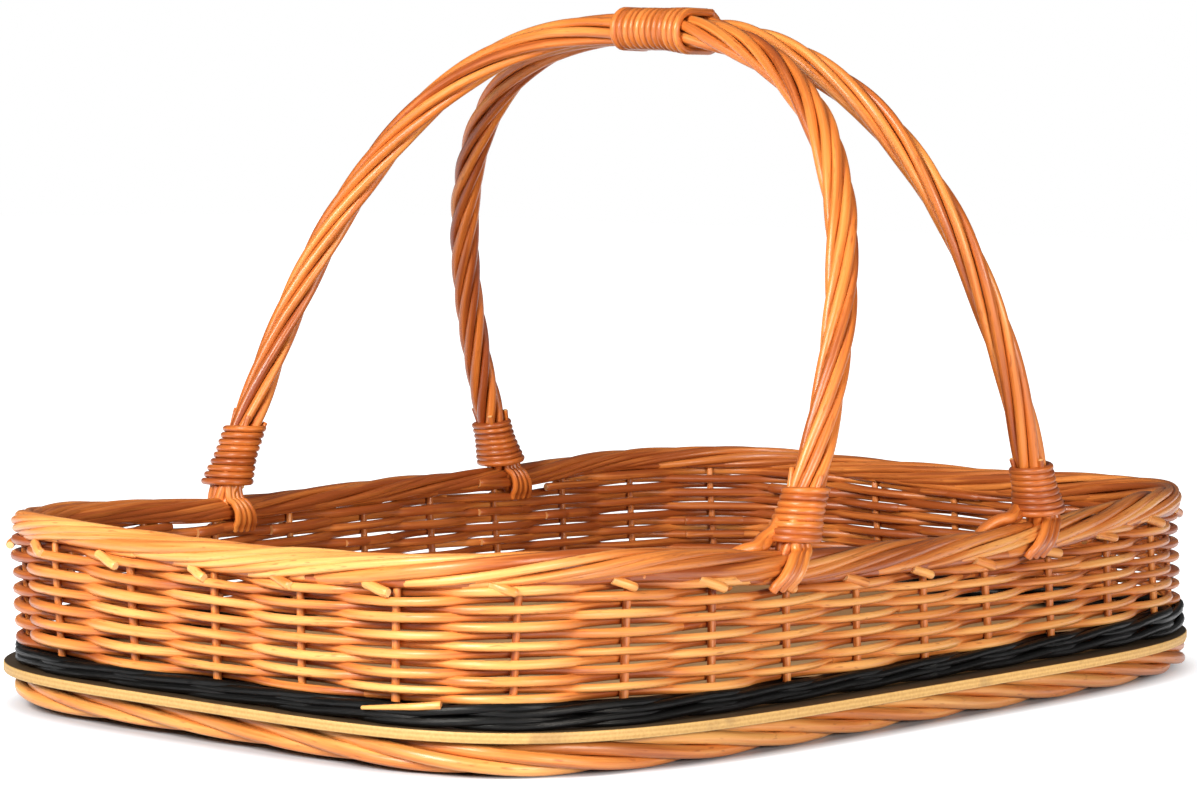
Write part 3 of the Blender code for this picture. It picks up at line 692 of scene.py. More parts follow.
@dataclass
class BaseBoard:
    """Plywood board with rounded edges and its plies open to view.

    Attributes:
        edge_round: Radius of its edges.
        edge_steps: How many rings round off one edge.
        chip: How deep the lower edge is worn.
        inward: The rings of its faces, as shares of its outline.
    """

    half_length: float = 0.2398
    half_width: float = 0.1648
    power: float = 4.3
    edge_round: float = 0.0007
    edge_steps: int = 5
    chip: float = 0.00012
    outline_points: int = 288
    inward: tuple[float, ...] = (0.93, 0.8, 0.6, 0.35, 0.12)

    def rings(self, wall: WallLine) -> list[np.ndarray]:
        """The rings of points from the middle of the lower face to that of the upper one."""
        angles = np.linspace(0, TURN, self.outline_points, endpoint=False)
        outline, outward = superellipse(self.half_length, self.half_width, self.power, angles)
        chips = np.clip(np.random.default_rng(SEED).normal(0, 1, len(angles)), 0.6, 2.2) - 0.6
        turns = np.linspace(0, math.pi / 2, self.edge_steps)
        rising = self.edge_round * (1 - np.cos(turns))
        falling = self.edge_round * (1 - np.sin(turns))
        lower = [outline - (inset + self.chip * chips)[:, None] * outward + (wall.board_bottom + lift) * UP
                 for inset, lift in zip(falling, rising)]
        upper = [outline - inset * outward + (wall.board_top - drop) * UP
                 for inset, drop in zip(rising, falling)]
        under = [outline * share + wall.board_bottom * UP for share in self.inward]
        under[0] = lower[0] * (self.inward[0], self.inward[0], 1)
        # The upper face takes its heights from the rings of its edge, so it dips towards the middle.
        over = [ring * (share, share, 1) for ring, share in zip(reversed(upper), self.inward)]
        return under[::-1] + lower + upper + over

    def build(self, shop: Workshop) -> None:
        """Build the board."""
        bm = bmesh.new()
        rows = [[bm.verts.new(point) for point in ring] for ring in self.rings(shop.wall)]
        for below, above in zip(rows, rows[1:]):
            for corner in range(self.outline_points):
                after = (corner + 1) % self.outline_points
                bm.faces.new((below[corner], below[after], above[after], above[corner]))
        bm.faces.new(list(reversed(rows[0])))
        bm.faces.new(rows[-1])
        bmesh.ops.recalc_face_normals(bm, faces=bm.faces[:])
        mesh = bpy.data.meshes.new("plywood_board")
        bm.to_mesh(mesh)
        bm.free()
        mesh.shade_smooth()
        piece = bpy.data.objects.new("plywood_board", mesh)
        bpy.context.scene.collection.objects.link(piece)
        mesh.materials.append(self.material(shop.wall))
        shop.fix(piece, ("base_board",))

    def material(self, wall: WallLine) -> bpy.types.Material:
        """Birch ply: long grain on the faces, light and dark plies at the edge."""
        material, make, shader = start_material("birch_plywood")
        place = make.node("ShaderNodeTexCoord").outputs["Object"]
        stretched = make.node("ShaderNodeMapping", {"Vector": place, "Scale": (9.0, 160.0, 900.0)}).outputs[0]
        grain = make.noise(stretched, 1.0, 5.0, 0.62)
        blotch = make.noise(place, 42.0, 3.0)
        fuzz = make.noise(place, 900.0, 3.0)
        length, _, height = make.parts(place)
        ply = make.math("MULTIPLY", make.ramp(height, wall.board_bottom, wall.board_top), 15.7)
        wave = make.math("SINE", make.math("MULTIPLY_ADD", blotch, 1.4, ply))
        ends = make.math("MULTIPLY_ADD", make.ramp(wave, -0.8, 0.8), 0.35, fuzz)
        edge = make.mix(make.ramp(ends, 0.3, 1.0), (0.74, 0.41, 0.12), (0.96, 0.62, 0.225))
        mark = make.math("MULTIPLY", make.ramp(blotch, 0.62, 0.72), 0.35)
        # The edge is deeper towards the left end, painted shade against the lamp light there.
        edge = make.scaled(make.mix(mark, edge, (0.3, 0.15, 0.06)), make.ramp(length, -0.24, 0.05, 0.64))
        # The face colours are partly the ply's own and partly deepened as painted shade of the tray's inside.
        face = make.mix(make.ramp(grain, 0.3, 0.7), (0.40, 0.22, 0.085), (0.60, 0.38, 0.18))
        # Painted shade: the top face darkens towards its outline, down to a tenth from under the black rows
        # outwards, where their shadow falls.
        out = make.outline(place, (self.half_length, self.half_width), self.power)
        face = make.scaled(face, make.ramp(out, 0.66, 0.76, 1.0, 0.10))
        facing = make.parts(make.node("ShaderNodeNewGeometry").outputs["Normal"])[2]
        is_face = make.ramp(make.math("ABSOLUTE", facing), 0.75, 0.95)
        relief = make.math("MULTIPLY_ADD", grain, 0.6, make.math("MULTIPLY_ADD", wave, 0.1, fuzz))
        inputs = {"Strength": 0.25, "Distance": 0.0001, "Height": relief}
        bump = make.node("ShaderNodeBump", inputs).outputs[0]
        make.fill(shader, {"Base Color": make.mix(is_face, edge, face), "Normal": bump,
                           "Roughness": make.ramp(grain, 0.0, 1.0, 0.42, 0.66)})
        return material


# Borders


@dataclass
class FootBorder:
    """Roped border under the board: each stake's lower end runs down and along for four stakes.

    Attributes:
        first_angle: Where a rod starts round the rope, in degrees.
        flat_mm: How much thinner the rope is at each stake.
    """

    rope_radius: float = 0.0063
    strands: int = 4
    rod_radius: float = 0.00265
    steps: int = 44
    first_angle: float = 118
    flat_mm: tuple[float, ...] = (*[0.0] * 18, 0.1, 0.3, 0.6, 0.9, 1.1, 1.2, 1.2, 1.0, 0.6, 0.2, *[0.0] * 4)

    def build(self, shop: Workshop) -> None:
        """Build all its rods."""
        wall, bundle = shop.wall, RodBundle(SEED + 1)
        for number in range(wall.stakes):
            place = number - 0.1 + np.linspace(0, self.strands + 0.25, self.steps)
            angle = math.radians(self.first_angle) - TURN * (place - number) / self.strands
            flat = wall.around(self.flat_mm, place) / 1000
            orbit = self.rope_radius - self.rod_radius - flat * 0.55
            out = (orbit + 0.0008) * np.cos(angle)
            height = wall.board_bottom - self.rope_radius + flat + orbit * np.sin(angle)
            thinner = 1 - 90 * float(flat[len(flat) // 2])
            radius = self.rod_radius * (1 + bundle.random.normal(0, 0.04)) * thinner
            height = np.maximum(height, radius + 0.0001)
            bundle.add(wall.at(place, out, height), radius, taper=0.9, shade=0.1)
        shop.rods("foot_border_rods", bundle, BORDER, ("foot_border",), sides=12)


@dataclass
class RimBorder:
    """Rolled border on the wall: each stake is bent over, roped along five stakes and cut off outside.

    Attributes:
        core: The rods in the rope's middle, each by how far out and how far down it lies.
    """

    rope_radius: float = 0.0063
    strands: int = 5
    rod_radius: float = 0.00172
    steps: int = 60
    core_radius: float = 0.0023
    core: tuple[tuple[float, float], ...] = ((-0.0017, 0.0040), (0.0012, 0.0041), (0.0, 0.0))
    tip_radius: float = 0.0021
    tip_steps: int = 10

    def build(self, shop: Workshop) -> None:
        """Build the roped rods, the core and the cut tips."""
        wall, bundle = shop.wall, RodBundle(SEED + 2)
        for number in range(wall.stakes):
            place = number + np.linspace(-0.05, self.strands + 0.12, self.steps)
            tone = bundle.random.normal(0.50, 0.13)
            single = number % 3 == 1
            for twin in (0.0,) if single else (-0.25, 0.25):
                self.strand(wall, bundle, number, place, twin, tone)
        place = np.linspace(0, wall.stakes, 12 * wall.stakes, endpoint=False)
        for out, low in self.core:
            height = wall.rim(place) + 2 * wall.slim(place) - low
            radius = self.core_radius - 0.6 * wall.slim(place)
            # The core rods take the deepest tone as painted shade, so that the rope's middle and underside
            # read as shadowed.
            bundle.add(wall.at(place, out, height), radius, tone=0.0, closed=True)
        shop.rods("rim_border_rods", bundle, BORDER, ("rim_border",), sides=12, wobble=0.0006, swelling=0.12)
        self.tips(shop)

    def strand(self, wall: WallLine, bundle: RodBundle, number: int, place: np.ndarray, twin: float,
               tone: float) -> None:
        """Lay one rod of the rope.

        Args:
            wall: The wall that it lies on.
            bundle: What it is added to.
            number: The stake that it comes from.
            place: The places that it runs along.
            twin: How far it lies ahead of its strand's middle, or 0 where it is the only rod.
            tone: The tone of its strand.
        """
        draw = bundle.random
        phase = twin + draw.normal(0, 0.05) + 0.09 * np.sin(place * 1.3 + draw.uniform(0, TURN))
        angle = -math.pi / 2 + TURN * (place - number + phase) / self.strands
        radius = self.rod_radius * (1.0 if twin else 1.4) * (1 + draw.normal(0, 0.05))
        swing = 0.0004 * np.sin(place * 2.1 + draw.uniform(0, TURN))
        orbit = self.rope_radius - wall.slim(place) - radius + swing
        height = wall.rim(place) + wall.slim(place) + orbit * np.sin(angle)
        # Painted shade and light on the tone: the rope's inner side is deeper and its outer side paler, it is
        # deeper round the right end and the back where the light falls off, and paler round the left end
        # where the key lamp falls. It is also deeper a little left of the front's middle.
        shade = 0.20 * np.cos(angle) - 0.08 - 0.14 * wall.painted_shade(place)
        shade += 0.22 * wall.near(place, -8, 3.5, 2) - 0.18 * wall.near(place, -2.4, 3.3, 1.0)
        bundle.add(wall.at(place, orbit * np.cos(angle), height), radius, taper=0.88,
                   tone=tone + draw.normal(0, 0.08), shade=shade)

    def tips(self, shop: Workshop) -> None:
        """The cut rod tips that stand out under the border."""
        wall, tips = shop.wall, RodBundle(SEED + 3)
        draw = tips.random.uniform
        share = np.linspace(0, 1, self.tip_steps)
        for number in range(wall.stakes):
            length = 0.24 + draw(-0.04, 0.06)
            place = number - 0.02 - length * (1 - share) + draw(-0.03, 0.03)
            out = 0.0028 + 0.0026 * smooth(share * 1.1) + draw(-0.0004, 0.0004)
            height = wall.rim(place) - 0.0042 - 0.0030 * share - draw(0, 0.0006)
            # The tips are deeper round the right end and the back as painted shade.
            tips.add(wall.at(place, out, height), self.tip_radius * draw(0.82, 1.0), taper=0.94,
                     tone=draw(0.6, 0.95), shade=-0.25 * wall.painted_shade(place))
        shop.rods("rim_rod_tips", tips, BORDER, (), sides=10)


# Wall


@dataclass
class Stakes:
    """Upright rods from the board to the top border."""

    radius: float = 0.00165
    steps: int = 9
    below_rim: float = 0.0030

    def build(self, shop: Workshop) -> None:
        """Build all the stakes as one piece."""
        wall, bundle = shop.wall, RodBundle(SEED + 4)
        for number in range(wall.stakes):
            place = np.full(self.steps, float(number))
            top = float(wall.rim(place)[0]) - self.below_rim
            height = np.linspace(wall.board_bottom + 0.0004, top, self.steps)
            radius = self.radius * bundle.random.uniform(0.92, 1.06)
            # Stakes take deep tones, partly as painted shade of the recesses between the rows, and deeper
            # round the right end and the back as painted shade.
            tone = bundle.random.uniform(0.3, 0.5) - 0.1 * float(wall.painted_shade(place)[0])
            bundle.add(wall.at(place, 0.0, height), radius, taper=0.88, tone=tone)
        nodes = [f"stake_{number + 1:02d}" for number in range(wall.stakes)]
        shop.rods("stake_rods", bundle, BUFF, nodes, sides=10)


@dataclass
class Weave:
    """Plain weave: single rods in front of one stake and behind the next.

    Attributes:
        added_rows: Full rows that the CAD doesn't have, counted from 0 at the bottom.
        first_short: Number of the first row that doesn't run all the way round.
        reach: How far its wave swings to both sides of the stakes.
        stray: How far a row strays up and down.
        overlap: How far a rod runs past the stake that it ends at.
    """

    rod_radius: float = 0.00170
    added_rows: tuple[int, ...] = (3, 7)
    first_short: int = 10
    steps_per_stake: int = 12
    rods_in_row: int = 4
    reach: float = 0.0034
    stray: float = 0.00022
    overlap: float = 0.34

    def bend(self, wall: WallLine, row: int, place: np.ndarray) -> np.ndarray:
        """Points of the row's wave at these places."""
        side = -np.cos(np.pi * (place + row))
        hug = np.sign(side) * np.abs(side) ** 0.8
        stray = np.random.default_rng(SEED + 200 + row).normal(0, self.stray, wall.stakes)
        return wall.at(place, self.reach * hug, wall.row_height(row, place) + wall.around(stray, place))

    def build(self, shop: Workshop) -> None:
        """Build the full rows, the rods packed round the ends and those at the corners."""
        wall = shop.wall
        per_rod = wall.stakes // self.rods_in_row
        for row in range(wall.full_rows):
            bundle = RodBundle(SEED + 10 + row)
            first = 2 * int(bundle.random.integers(0, per_rod // 2)) + (row % 2)
            for start in range(first, first + wall.stakes, per_rod):
                self.lay(wall, bundle, row, start, start + per_rod)
            if row in self.added_rows:
                self.finish(shop, bundle, f"added_{self.added_rows.index(row) + 1}", ())
            else:
                number = f"{row + 1 - sum(row > added for added in self.added_rows):02d}"
                self.finish(shop, bundle, number, (f"weave_row_{number}",))
        ends = (3 * wall.stakes // 4, wall.stakes // 4)
        short = [(wall.full_rows, end, 5) for end in ends]
        short += [(wall.full_rows + 1, end + side * 3, 3) for end in ends for side in (-1, 1)]
        for index, (row, middle, side_count) in enumerate(short):
            bundle = RodBundle(SEED + 30 + index)
            self.lay(wall, bundle, row, middle - side_count, middle + side_count)
            number = f"{self.first_short + index:02d}"
            self.finish(shop, bundle, number, (f"weave_row_{number}",))
        self.loose_end(shop)

    def finish(self, shop: Workshop, bundle: RodBundle, label: str, nodes: Iterable[str]) -> None:
        """Skin the rods of one row."""
        shop.rods(f"weave_rods_{label}", bundle, BUFF, nodes, wobble=0.0005, swelling=0.22)

    def loose_end(self, shop: Workshop) -> None:
        """The end of a weaving rod that lies on the black rows beside the near corner."""
        bundle = RodBundle(SEED + 40)
        share = np.linspace(0, 1, 14)
        place = 26.46 - 0.68 * share
        points = shop.wall.at(place, 0.0050 + 0.0016 * smooth(share * 3), 0.0252 - 0.0032 * share)
        bundle.add(points, 0.0015, taper=0.5, tone=0.9)
        shop.rods("weave_loose_end", bundle, BUFF, (), sides=10, wobble=0.0002)

    def lay(self, wall: WallLine, bundle: RodBundle, row: int, start: int, stop: int) -> None:
        """Lay one rod from behind one stake to behind another, its end lifted over the next rod."""
        count = int((stop - start + 2 * self.overlap) * self.steps_per_stake)
        place = np.linspace(start - self.overlap, stop + self.overlap, count)
        points = self.bend(wall, row, place)
        over = smooth((place - stop + 0.05) / 0.3) * 1.2 * self.rod_radius
        _, outward, _ = wall.frame(place)
        points -= over[:, None] * outward
        radius = self.rod_radius * bundle.random.uniform(0.90, 1.08) * (1 + 150 * wall.slim(place))
        thick_first = bundle.random.random() < 0.5
        share, taper = (1.06, 0.8) if thick_first else (0.9, 1 / 0.8)
        # Painted shade and light on the tone: each rod goes deeper where it passes behind a stake, into the
        # recess, deeper round the right end and the back, and deeper inside the back near the left corner;
        # painted light makes it paler a little left of the front's middle.
        shade = -0.08 - 0.36 * np.cos(np.pi * (place + row)) - 0.42 * wall.painted_shade(place)
        shade += 0.12 * wall.near(place, -1.5, 3, 2) - 0.24 * wall.near(place, 19, 4, 2)
        bundle.add(points, radius * share, taper=taper, shade=shade)


@dataclass
class Wale:
    """Two rounds of three-rod wale in black rods."""

    rod_radius: float = 0.00176
    rounds: int = 2
    rods: int = 3
    steps_per_stake: int = 10
    reach: float = 0.0040

    def build(self, shop: Workshop) -> None:
        """Build both rounds, whose three rods run on into each other as one closed rod."""
        wall = shop.wall
        place = np.arange(self.rods * wall.stakes * self.steps_per_stake) / self.steps_per_stake
        number = np.floor(place).astype(int)
        share = smooth(place - number)
        outs = np.array((1.0, 1.0, -1.0)) * self.reach
        room = wall.around(wall.band_mm, place % wall.stakes) / 1000 - 2 * self.rod_radius

        def step(values: np.ndarray) -> np.ndarray:
            """The way from each value to the next, over and over."""
            return values[number % self.rods] * (1 - share) + values[(number + 1) % self.rods] * share

        for row in range(self.rounds):
            bundle = RodBundle(SEED + 50 + row)
            levels = 2.0 * row + np.array((0.0, 1.0, 0.5))
            level = step(levels) / 3 + 0.04 * np.sin(place * 0.7 + row)
            height = wall.board_top + self.rod_radius + level * room
            bundle.add(wall.at(place, step(outs), height), self.rod_radius, closed=True)
            shop.rods(f"black_wale_{row + 1}", bundle, BLACK, (f"wale_row_{row + 1}",), wobble=0.0005,
                      swelling=0.2)


# Handles


@dataclass
class BowFoot:
    """Where one foot of a bow stands on the wall."""

    base_place: np.ndarray
    outward: np.ndarray
    forward: np.ndarray
    rim_height: float


@dataclass
class Bow:
    """Centre line of one bow: a superellipse that leans towards the other bow.

    Attributes:
        towards_front: How far its top lies in front of the middle of its feet.
        power: How square it is.
        base: Height of its feet.
        sight: How far ahead and behind its direction is measured.
    """

    front: BowFoot
    back: BowFoot
    radius: float = 0.0063
    height: float = 0.1920
    towards_front: float = 0.0070
    power: float = 2.55
    base: float = 0.0720
    samples: int = 1440
    sight: float = 0.002
    points: np.ndarray = field(init=False)
    run: np.ndarray = field(init=False)

    def __post_init__(self) -> None:
        """Work out the centre line."""
        self.middle = (self.front.base_place + self.back.base_place) / 2
        self.half_span = (self.back.base_place - self.front.base_place) / 2
        self.top_x = math.copysign(self.radius + 0.00015, self.middle[0])
        angles = np.pi * np.arange(self.samples + 1) / self.samples
        self.points = self.at_share(-np.sign(np.cos(angles)) * np.abs(np.cos(angles)) ** (2 / self.power))
        self.run = np.concatenate(([0.0], np.cumsum(np.linalg.norm(np.diff(self.points, axis=0), axis=1))))
        lean = np.array((self.top_x - self.middle[0], -self.towards_front, self.height))
        self.normal = unit(np.cross((0.0, 1.0, 0.0), lean))

    def at_share(self, share: np.ndarray) -> np.ndarray:
        """Points at shares of the half span, from -1 at the front foot to 1 at the back one."""
        rise = np.maximum(0, 1 - np.abs(share) ** self.power) ** (1 / self.power)
        level = self.middle + share[:, None] * self.half_span
        x = level[:, 0] + (self.top_x - level[:, 0]) * rise
        y = level[:, 1] - self.towards_front * rise
        return np.stack((x, y, self.base + self.height * rise), axis=1)

    def beside(self, distance: np.ndarray, angle: np.ndarray, reach: np.ndarray, at_back: bool = False,
               tilt: float = 1.0) -> np.ndarray:
        """Points beside the centre line, which may lie past its feet.

        Args:
            distance: Distances from a foot.
            angle: On which side of the line the points lie.
            reach: How far from the line they lie.
            at_back: Whether the distances start from the back foot.
            tilt: The share that is left of how far up and down they lie.

        Returns:
            The points.
        """
        length = self.run[-1]
        wanted = length - distance if at_back else distance
        inside = np.clip(wanted, 0, length)
        ahead, behind = (along(np.clip(inside + step, 0, length), self.run, self.points)
                         for step in (self.sight, -self.sight))
        direction = unit(ahead - behind)
        points = along(inside, self.run, self.points) + (wanted - inside)[:, None] * direction
        second = unit(np.cross(direction, self.normal))
        offset = np.cos(angle)[:, None] * self.normal + np.sin(angle)[:, None] * second
        return points + reach[:, None] * offset * (1.0, 1.0, tilt)


@dataclass(frozen=True)
class Straddle:
    """A flat group of strands that leaves a winding and crosses the top border.

    Attributes:
        count: How many strands it has.
        radius: Their radius.
        slant: How far it runs back along the wall on its way.
        end_turn: Where it ends, as an angle round the border from its crest, in degrees.
        first_turn: Where it first lies on the border, in degrees.
        early: The share of its slant that it runs before it lies on the border.
    """

    count: int
    radius: float
    slant: float
    end_turn: float
    first_turn: float = 42.0
    early: float = 0.05


@dataclass
class Handles:
    """Two bows of six rods, the windings at their feet, what straddles the rim, and the top binding.

    Attributes:
        twist_shares: The shares of a bow's length at which the lengths of its twist are given.
        foot_step: How far a foot stands from its stake.
        tuck: How far the rods run on past the feet.
        tip_turns: The sides of a bow on which the cut tips stand.
    """

    rod_radius: float = 0.00200
    ring_rods: int = 6
    steps: int = 220
    twist_shares: tuple[float, ...] = (0.0, 0.30, 0.45, 0.50, 0.60, 0.75, 1.0)
    left_twist: tuple[float, ...] = (0.150, 0.130, 0.120, 0.300, 0.300, 0.150, 0.150)
    right_twist: tuple[float, ...] = (0.220, 0.160, 0.110, 0.300, 0.250, 0.110, 0.095)
    foot_step: float = 0.005
    tuck: float = 0.010
    wrap_rod: float = 0.00140
    wrap_turns: int = 8
    wrap_pitch: float = 0.0026
    wrap_tilt: float = 0.25
    wrap_start: float = 0.0024
    wrap_steps: int = 22
    tip_radius: float = 0.0012
    tip_steps: int = 6
    tip_turns: tuple[float, ...] = (0.9, 2.4, 4.4)
    binding_rod: float = 0.00160
    binding_turns: int = 12
    binding_pitch: float = 0.0030
    binding_steps: int = 36
    binding_towards_front: float = 0.0110
    outer_front: Straddle = Straddle(3, 0.0020, 0.012, 126)
    inner_front: Straddle = Straddle(2, 0.0025, 0.030, 95, 20.0, 0.5)
    outer_back: Straddle = Straddle(3, 0.0018, 0.008, 140)
    inner_back: Straddle = Straddle(4, 0.00145, 0.006, 138)

    def foot(self, wall: WallLine, place: float) -> BowFoot:
        """The foot of a bow at a place on the wall."""
        places = np.array([place])
        points, outward, forward = wall.frame(places)
        return BowFoot(points[0], outward[0], forward[0], float(wall.rim(places)[0]))

    def build(self, shop: Workshop) -> None:
        """Build both bows, then the binding."""
        step = self.foot_step / shop.wall.spacing
        bows = []
        for side, front, back in (("left", -2 + step, 18 - step), ("right", 2 - step, 14 - step)):
            bow = Bow(self.foot(shop.wall, front), self.foot(shop.wall, back))
            bows.append(bow)
            self.bow_rods(shop, bow, side)
            self.wrap(shop, bow, False, f"{side}_front")
            self.wrap(shop, bow, True, f"{side}_back")
        self.binding(shop, *bows)

    def bow_rods(self, shop: Workshop, bow: Bow, side: str) -> None:
        """The roped rods of one bow, which run on down into the border at both feet."""
        is_right = side == "right"
        bundle = RodBundle(SEED + 60 + is_right, 0.11)
        length, tuck = bow.run[-1], self.tuck
        distance = np.linspace(-tuck, length + tuck, self.steps)
        share = distance / length
        pitch = np.interp(share, self.twist_shares, self.right_twist if is_right else self.left_twist)
        turned = TURN * np.concatenate(([0.0], np.cumsum(np.diff(distance) / pitch[1:])))
        from_foot = np.minimum(distance, length - distance)
        gather = 0.6 + 0.4 * smooth((from_foot + tuck) / (tuck + 0.004))
        spread = 0.07 * np.exp(-((from_foot - 0.033) / 0.014) ** 2)
        bundle.add(bow.beside(distance, turned, 0 * turned), self.rod_radius * 1.1, tone=0.1)
        # Painted shade on the tone: the back leg of each bow is deeper where the light falls off, the right
        # bow's most, and the left bow's front leg is toned down against the light there.
        painted_shade = (0.34 if is_right else 0.10) * smooth((share - 0.55) / 0.3)
        if not is_right:
            painted_shade += 0.09 * (1 - smooth((share - 0.3) / 0.2))
        for rod in range(self.ring_rods):
            angle = TURN * rod / self.ring_rods + turned + 0.12 * np.sin(distance * 40 + rod)
            orbit = (bow.radius - self.rod_radius) * (gather + spread) * (1 + bundle.random.normal(0, 0.02))
            thick, taper = (1.05, 0.9) if rod % 2 else (0.95, 1 / 0.9)
            points = bow.beside(distance, angle, orbit)
            bundle.add(points, self.rod_radius * thick, taper=taper, shade=-painted_shade)
        shop.rods(f"bow_rods_{side}", bundle, HANDLE, (f"handle_bow_{side}",), sides=12, wobble=0.0007)

    def wrap(self, shop: Workshop, bow: Bow, at_back: bool, label: str) -> None:
        """The winding at one foot, the two groups of strands that leave it, and the cut tips above it."""
        bundle = RodBundle(SEED + 70 + len(shop.pieces))
        turns, pitch = (9, 0.0029) if label == "left_back" else (self.wrap_turns, self.wrap_pitch)
        turned = np.arange(turns * self.wrap_steps + 1) / self.wrap_steps
        distance = self.wrap_start + pitch * turned
        angle = TURN * turned
        widen = 0.0022 * (1 - smooth(distance / 0.019)) + 0.0006 * np.maximum(0, np.cos(angle - 2.2)) ** 4
        reach = bow.radius + self.wrap_rod + widen - 0.0002
        points = bow.beside(distance, -angle if at_back else angle, reach, at_back, self.wrap_tilt)
        # The windings' tones are partly painted shade: the near left one is palest and the others are deeper
        # where the light falls off.
        tone = {"left_front": 0.36, "left_back": 0.28, "right_front": 0.17}.get(label, 0.22)
        bundle.add(points, self.wrap_rod, tone=tone)
        outer, inner = self.outer_front, self.inner_front
        if at_back:
            outer, inner = self.outer_back, self.inner_back
        for side, group in ((1, outer), (-1, inner)):
            for strand in range(group.count):
                path = self.strand(shop.wall, bow.back if at_back else bow.front, side, group, strand)
                bundle.add(path, group.radius, taper=0.9, tone=tone + bundle.random.uniform(-0.05, 0.3))
        top = self.wrap_start + pitch * turns
        reach = bow.radius + np.linspace(-0.0006, 0.0008, self.tip_steps)
        for turn in self.tip_turns:
            run = top + np.linspace(-0.006, bundle.random.uniform(0.003, 0.008), self.tip_steps)
            points = bow.beside(run, np.full(self.tip_steps, turn), reach, at_back)
            bundle.add(points, self.tip_radius, taper=0.9, tone=tone + 0.1)
        shop.rods(f"foot_winding_{label}", bundle, HANDLE, (f"foot_wrap_{label}",), sides=12, wobble=0.0004)

    def strand(self, wall: WallLine, foot: BowFoot, side: int, group: Straddle, strand: int) -> np.ndarray:
        """One strand from under the winding over the border, outside (1) or inside (-1)."""
        clear = wall.rim_radius + group.radius + 0.0001
        across = (strand - (group.count - 1) / 2) * 1.92 * group.radius
        under = ((0.0034, 0.0, 0.0180), (0.0038, 0.25, 0.0135), (0.0044, 0.65, 0.0105))
        path = [(out, 0.75 * across + group.early * share * group.slant, height)
                for out, share, height in under]
        for share in np.linspace(0, 1, 7):
            turn = math.radians(group.first_turn + share * (group.end_turn - group.first_turn))
            run = group.early + (1 - group.early) * share**0.75
            sideways = (0.85 + 0.35 * share) * across + group.slant * run
            path.append((clear * math.sin(turn), sideways, clear * math.cos(turn)))
        out, sideways, height = path[-1]
        path.append((out - 0.0012, sideways + 0.08 * group.slant, height - 0.0022))
        control = [foot.base_place + side * out * foot.outward - sideways * foot.forward
                   + (foot.rim_height + height) * UP for out, sideways, height in path]
        return spline(np.array(control), 4)

    def binding(self, shop: Workshop, left: Bow, right: Bow) -> None:
        """The rod wound round both bows near their highest point."""
        turned = np.arange(self.binding_turns * self.binding_steps + 1) / self.binding_steps
        from_top = self.binding_pitch * (turned - self.binding_turns / 2) - self.binding_towards_front
        share = turned / self.binding_turns
        radius = left.radius + 0.0005 + 0.0009 * smooth((0.45 - share) / 0.45) + 0.0004 * (share > 0.92)
        left_points, right_points = (bow.at_share(from_top / bow.half_span[1]) for bow in (left, right))
        half = (right_points[:, 0] - left_points[:, 0]) / 2
        half_length = 2 * half + math.pi * radius
        distance = (turned % 1) * 2 * half_length
        side = np.where(distance >= half_length, -1.0, 1.0)
        distance = np.where(distance >= half_length, distance - half_length, distance)
        straight = distance < 2 * half
        angle = math.pi / 2 + (distance - 2 * half) / radius
        x = np.where(straight, side * (half - distance), side * (radius * np.cos(angle) - half))
        z = np.where(straight, side * radius, side * radius * np.sin(angle))
        bundle = RodBundle(SEED + 80)
        bundle.add((left_points + right_points) / 2 + np.stack((x, 0 * x, z), axis=1), self.binding_rod)
        shop.rods("binding_rod", bundle, HANDLE, ("top_binding",), sides=10)


# Studio


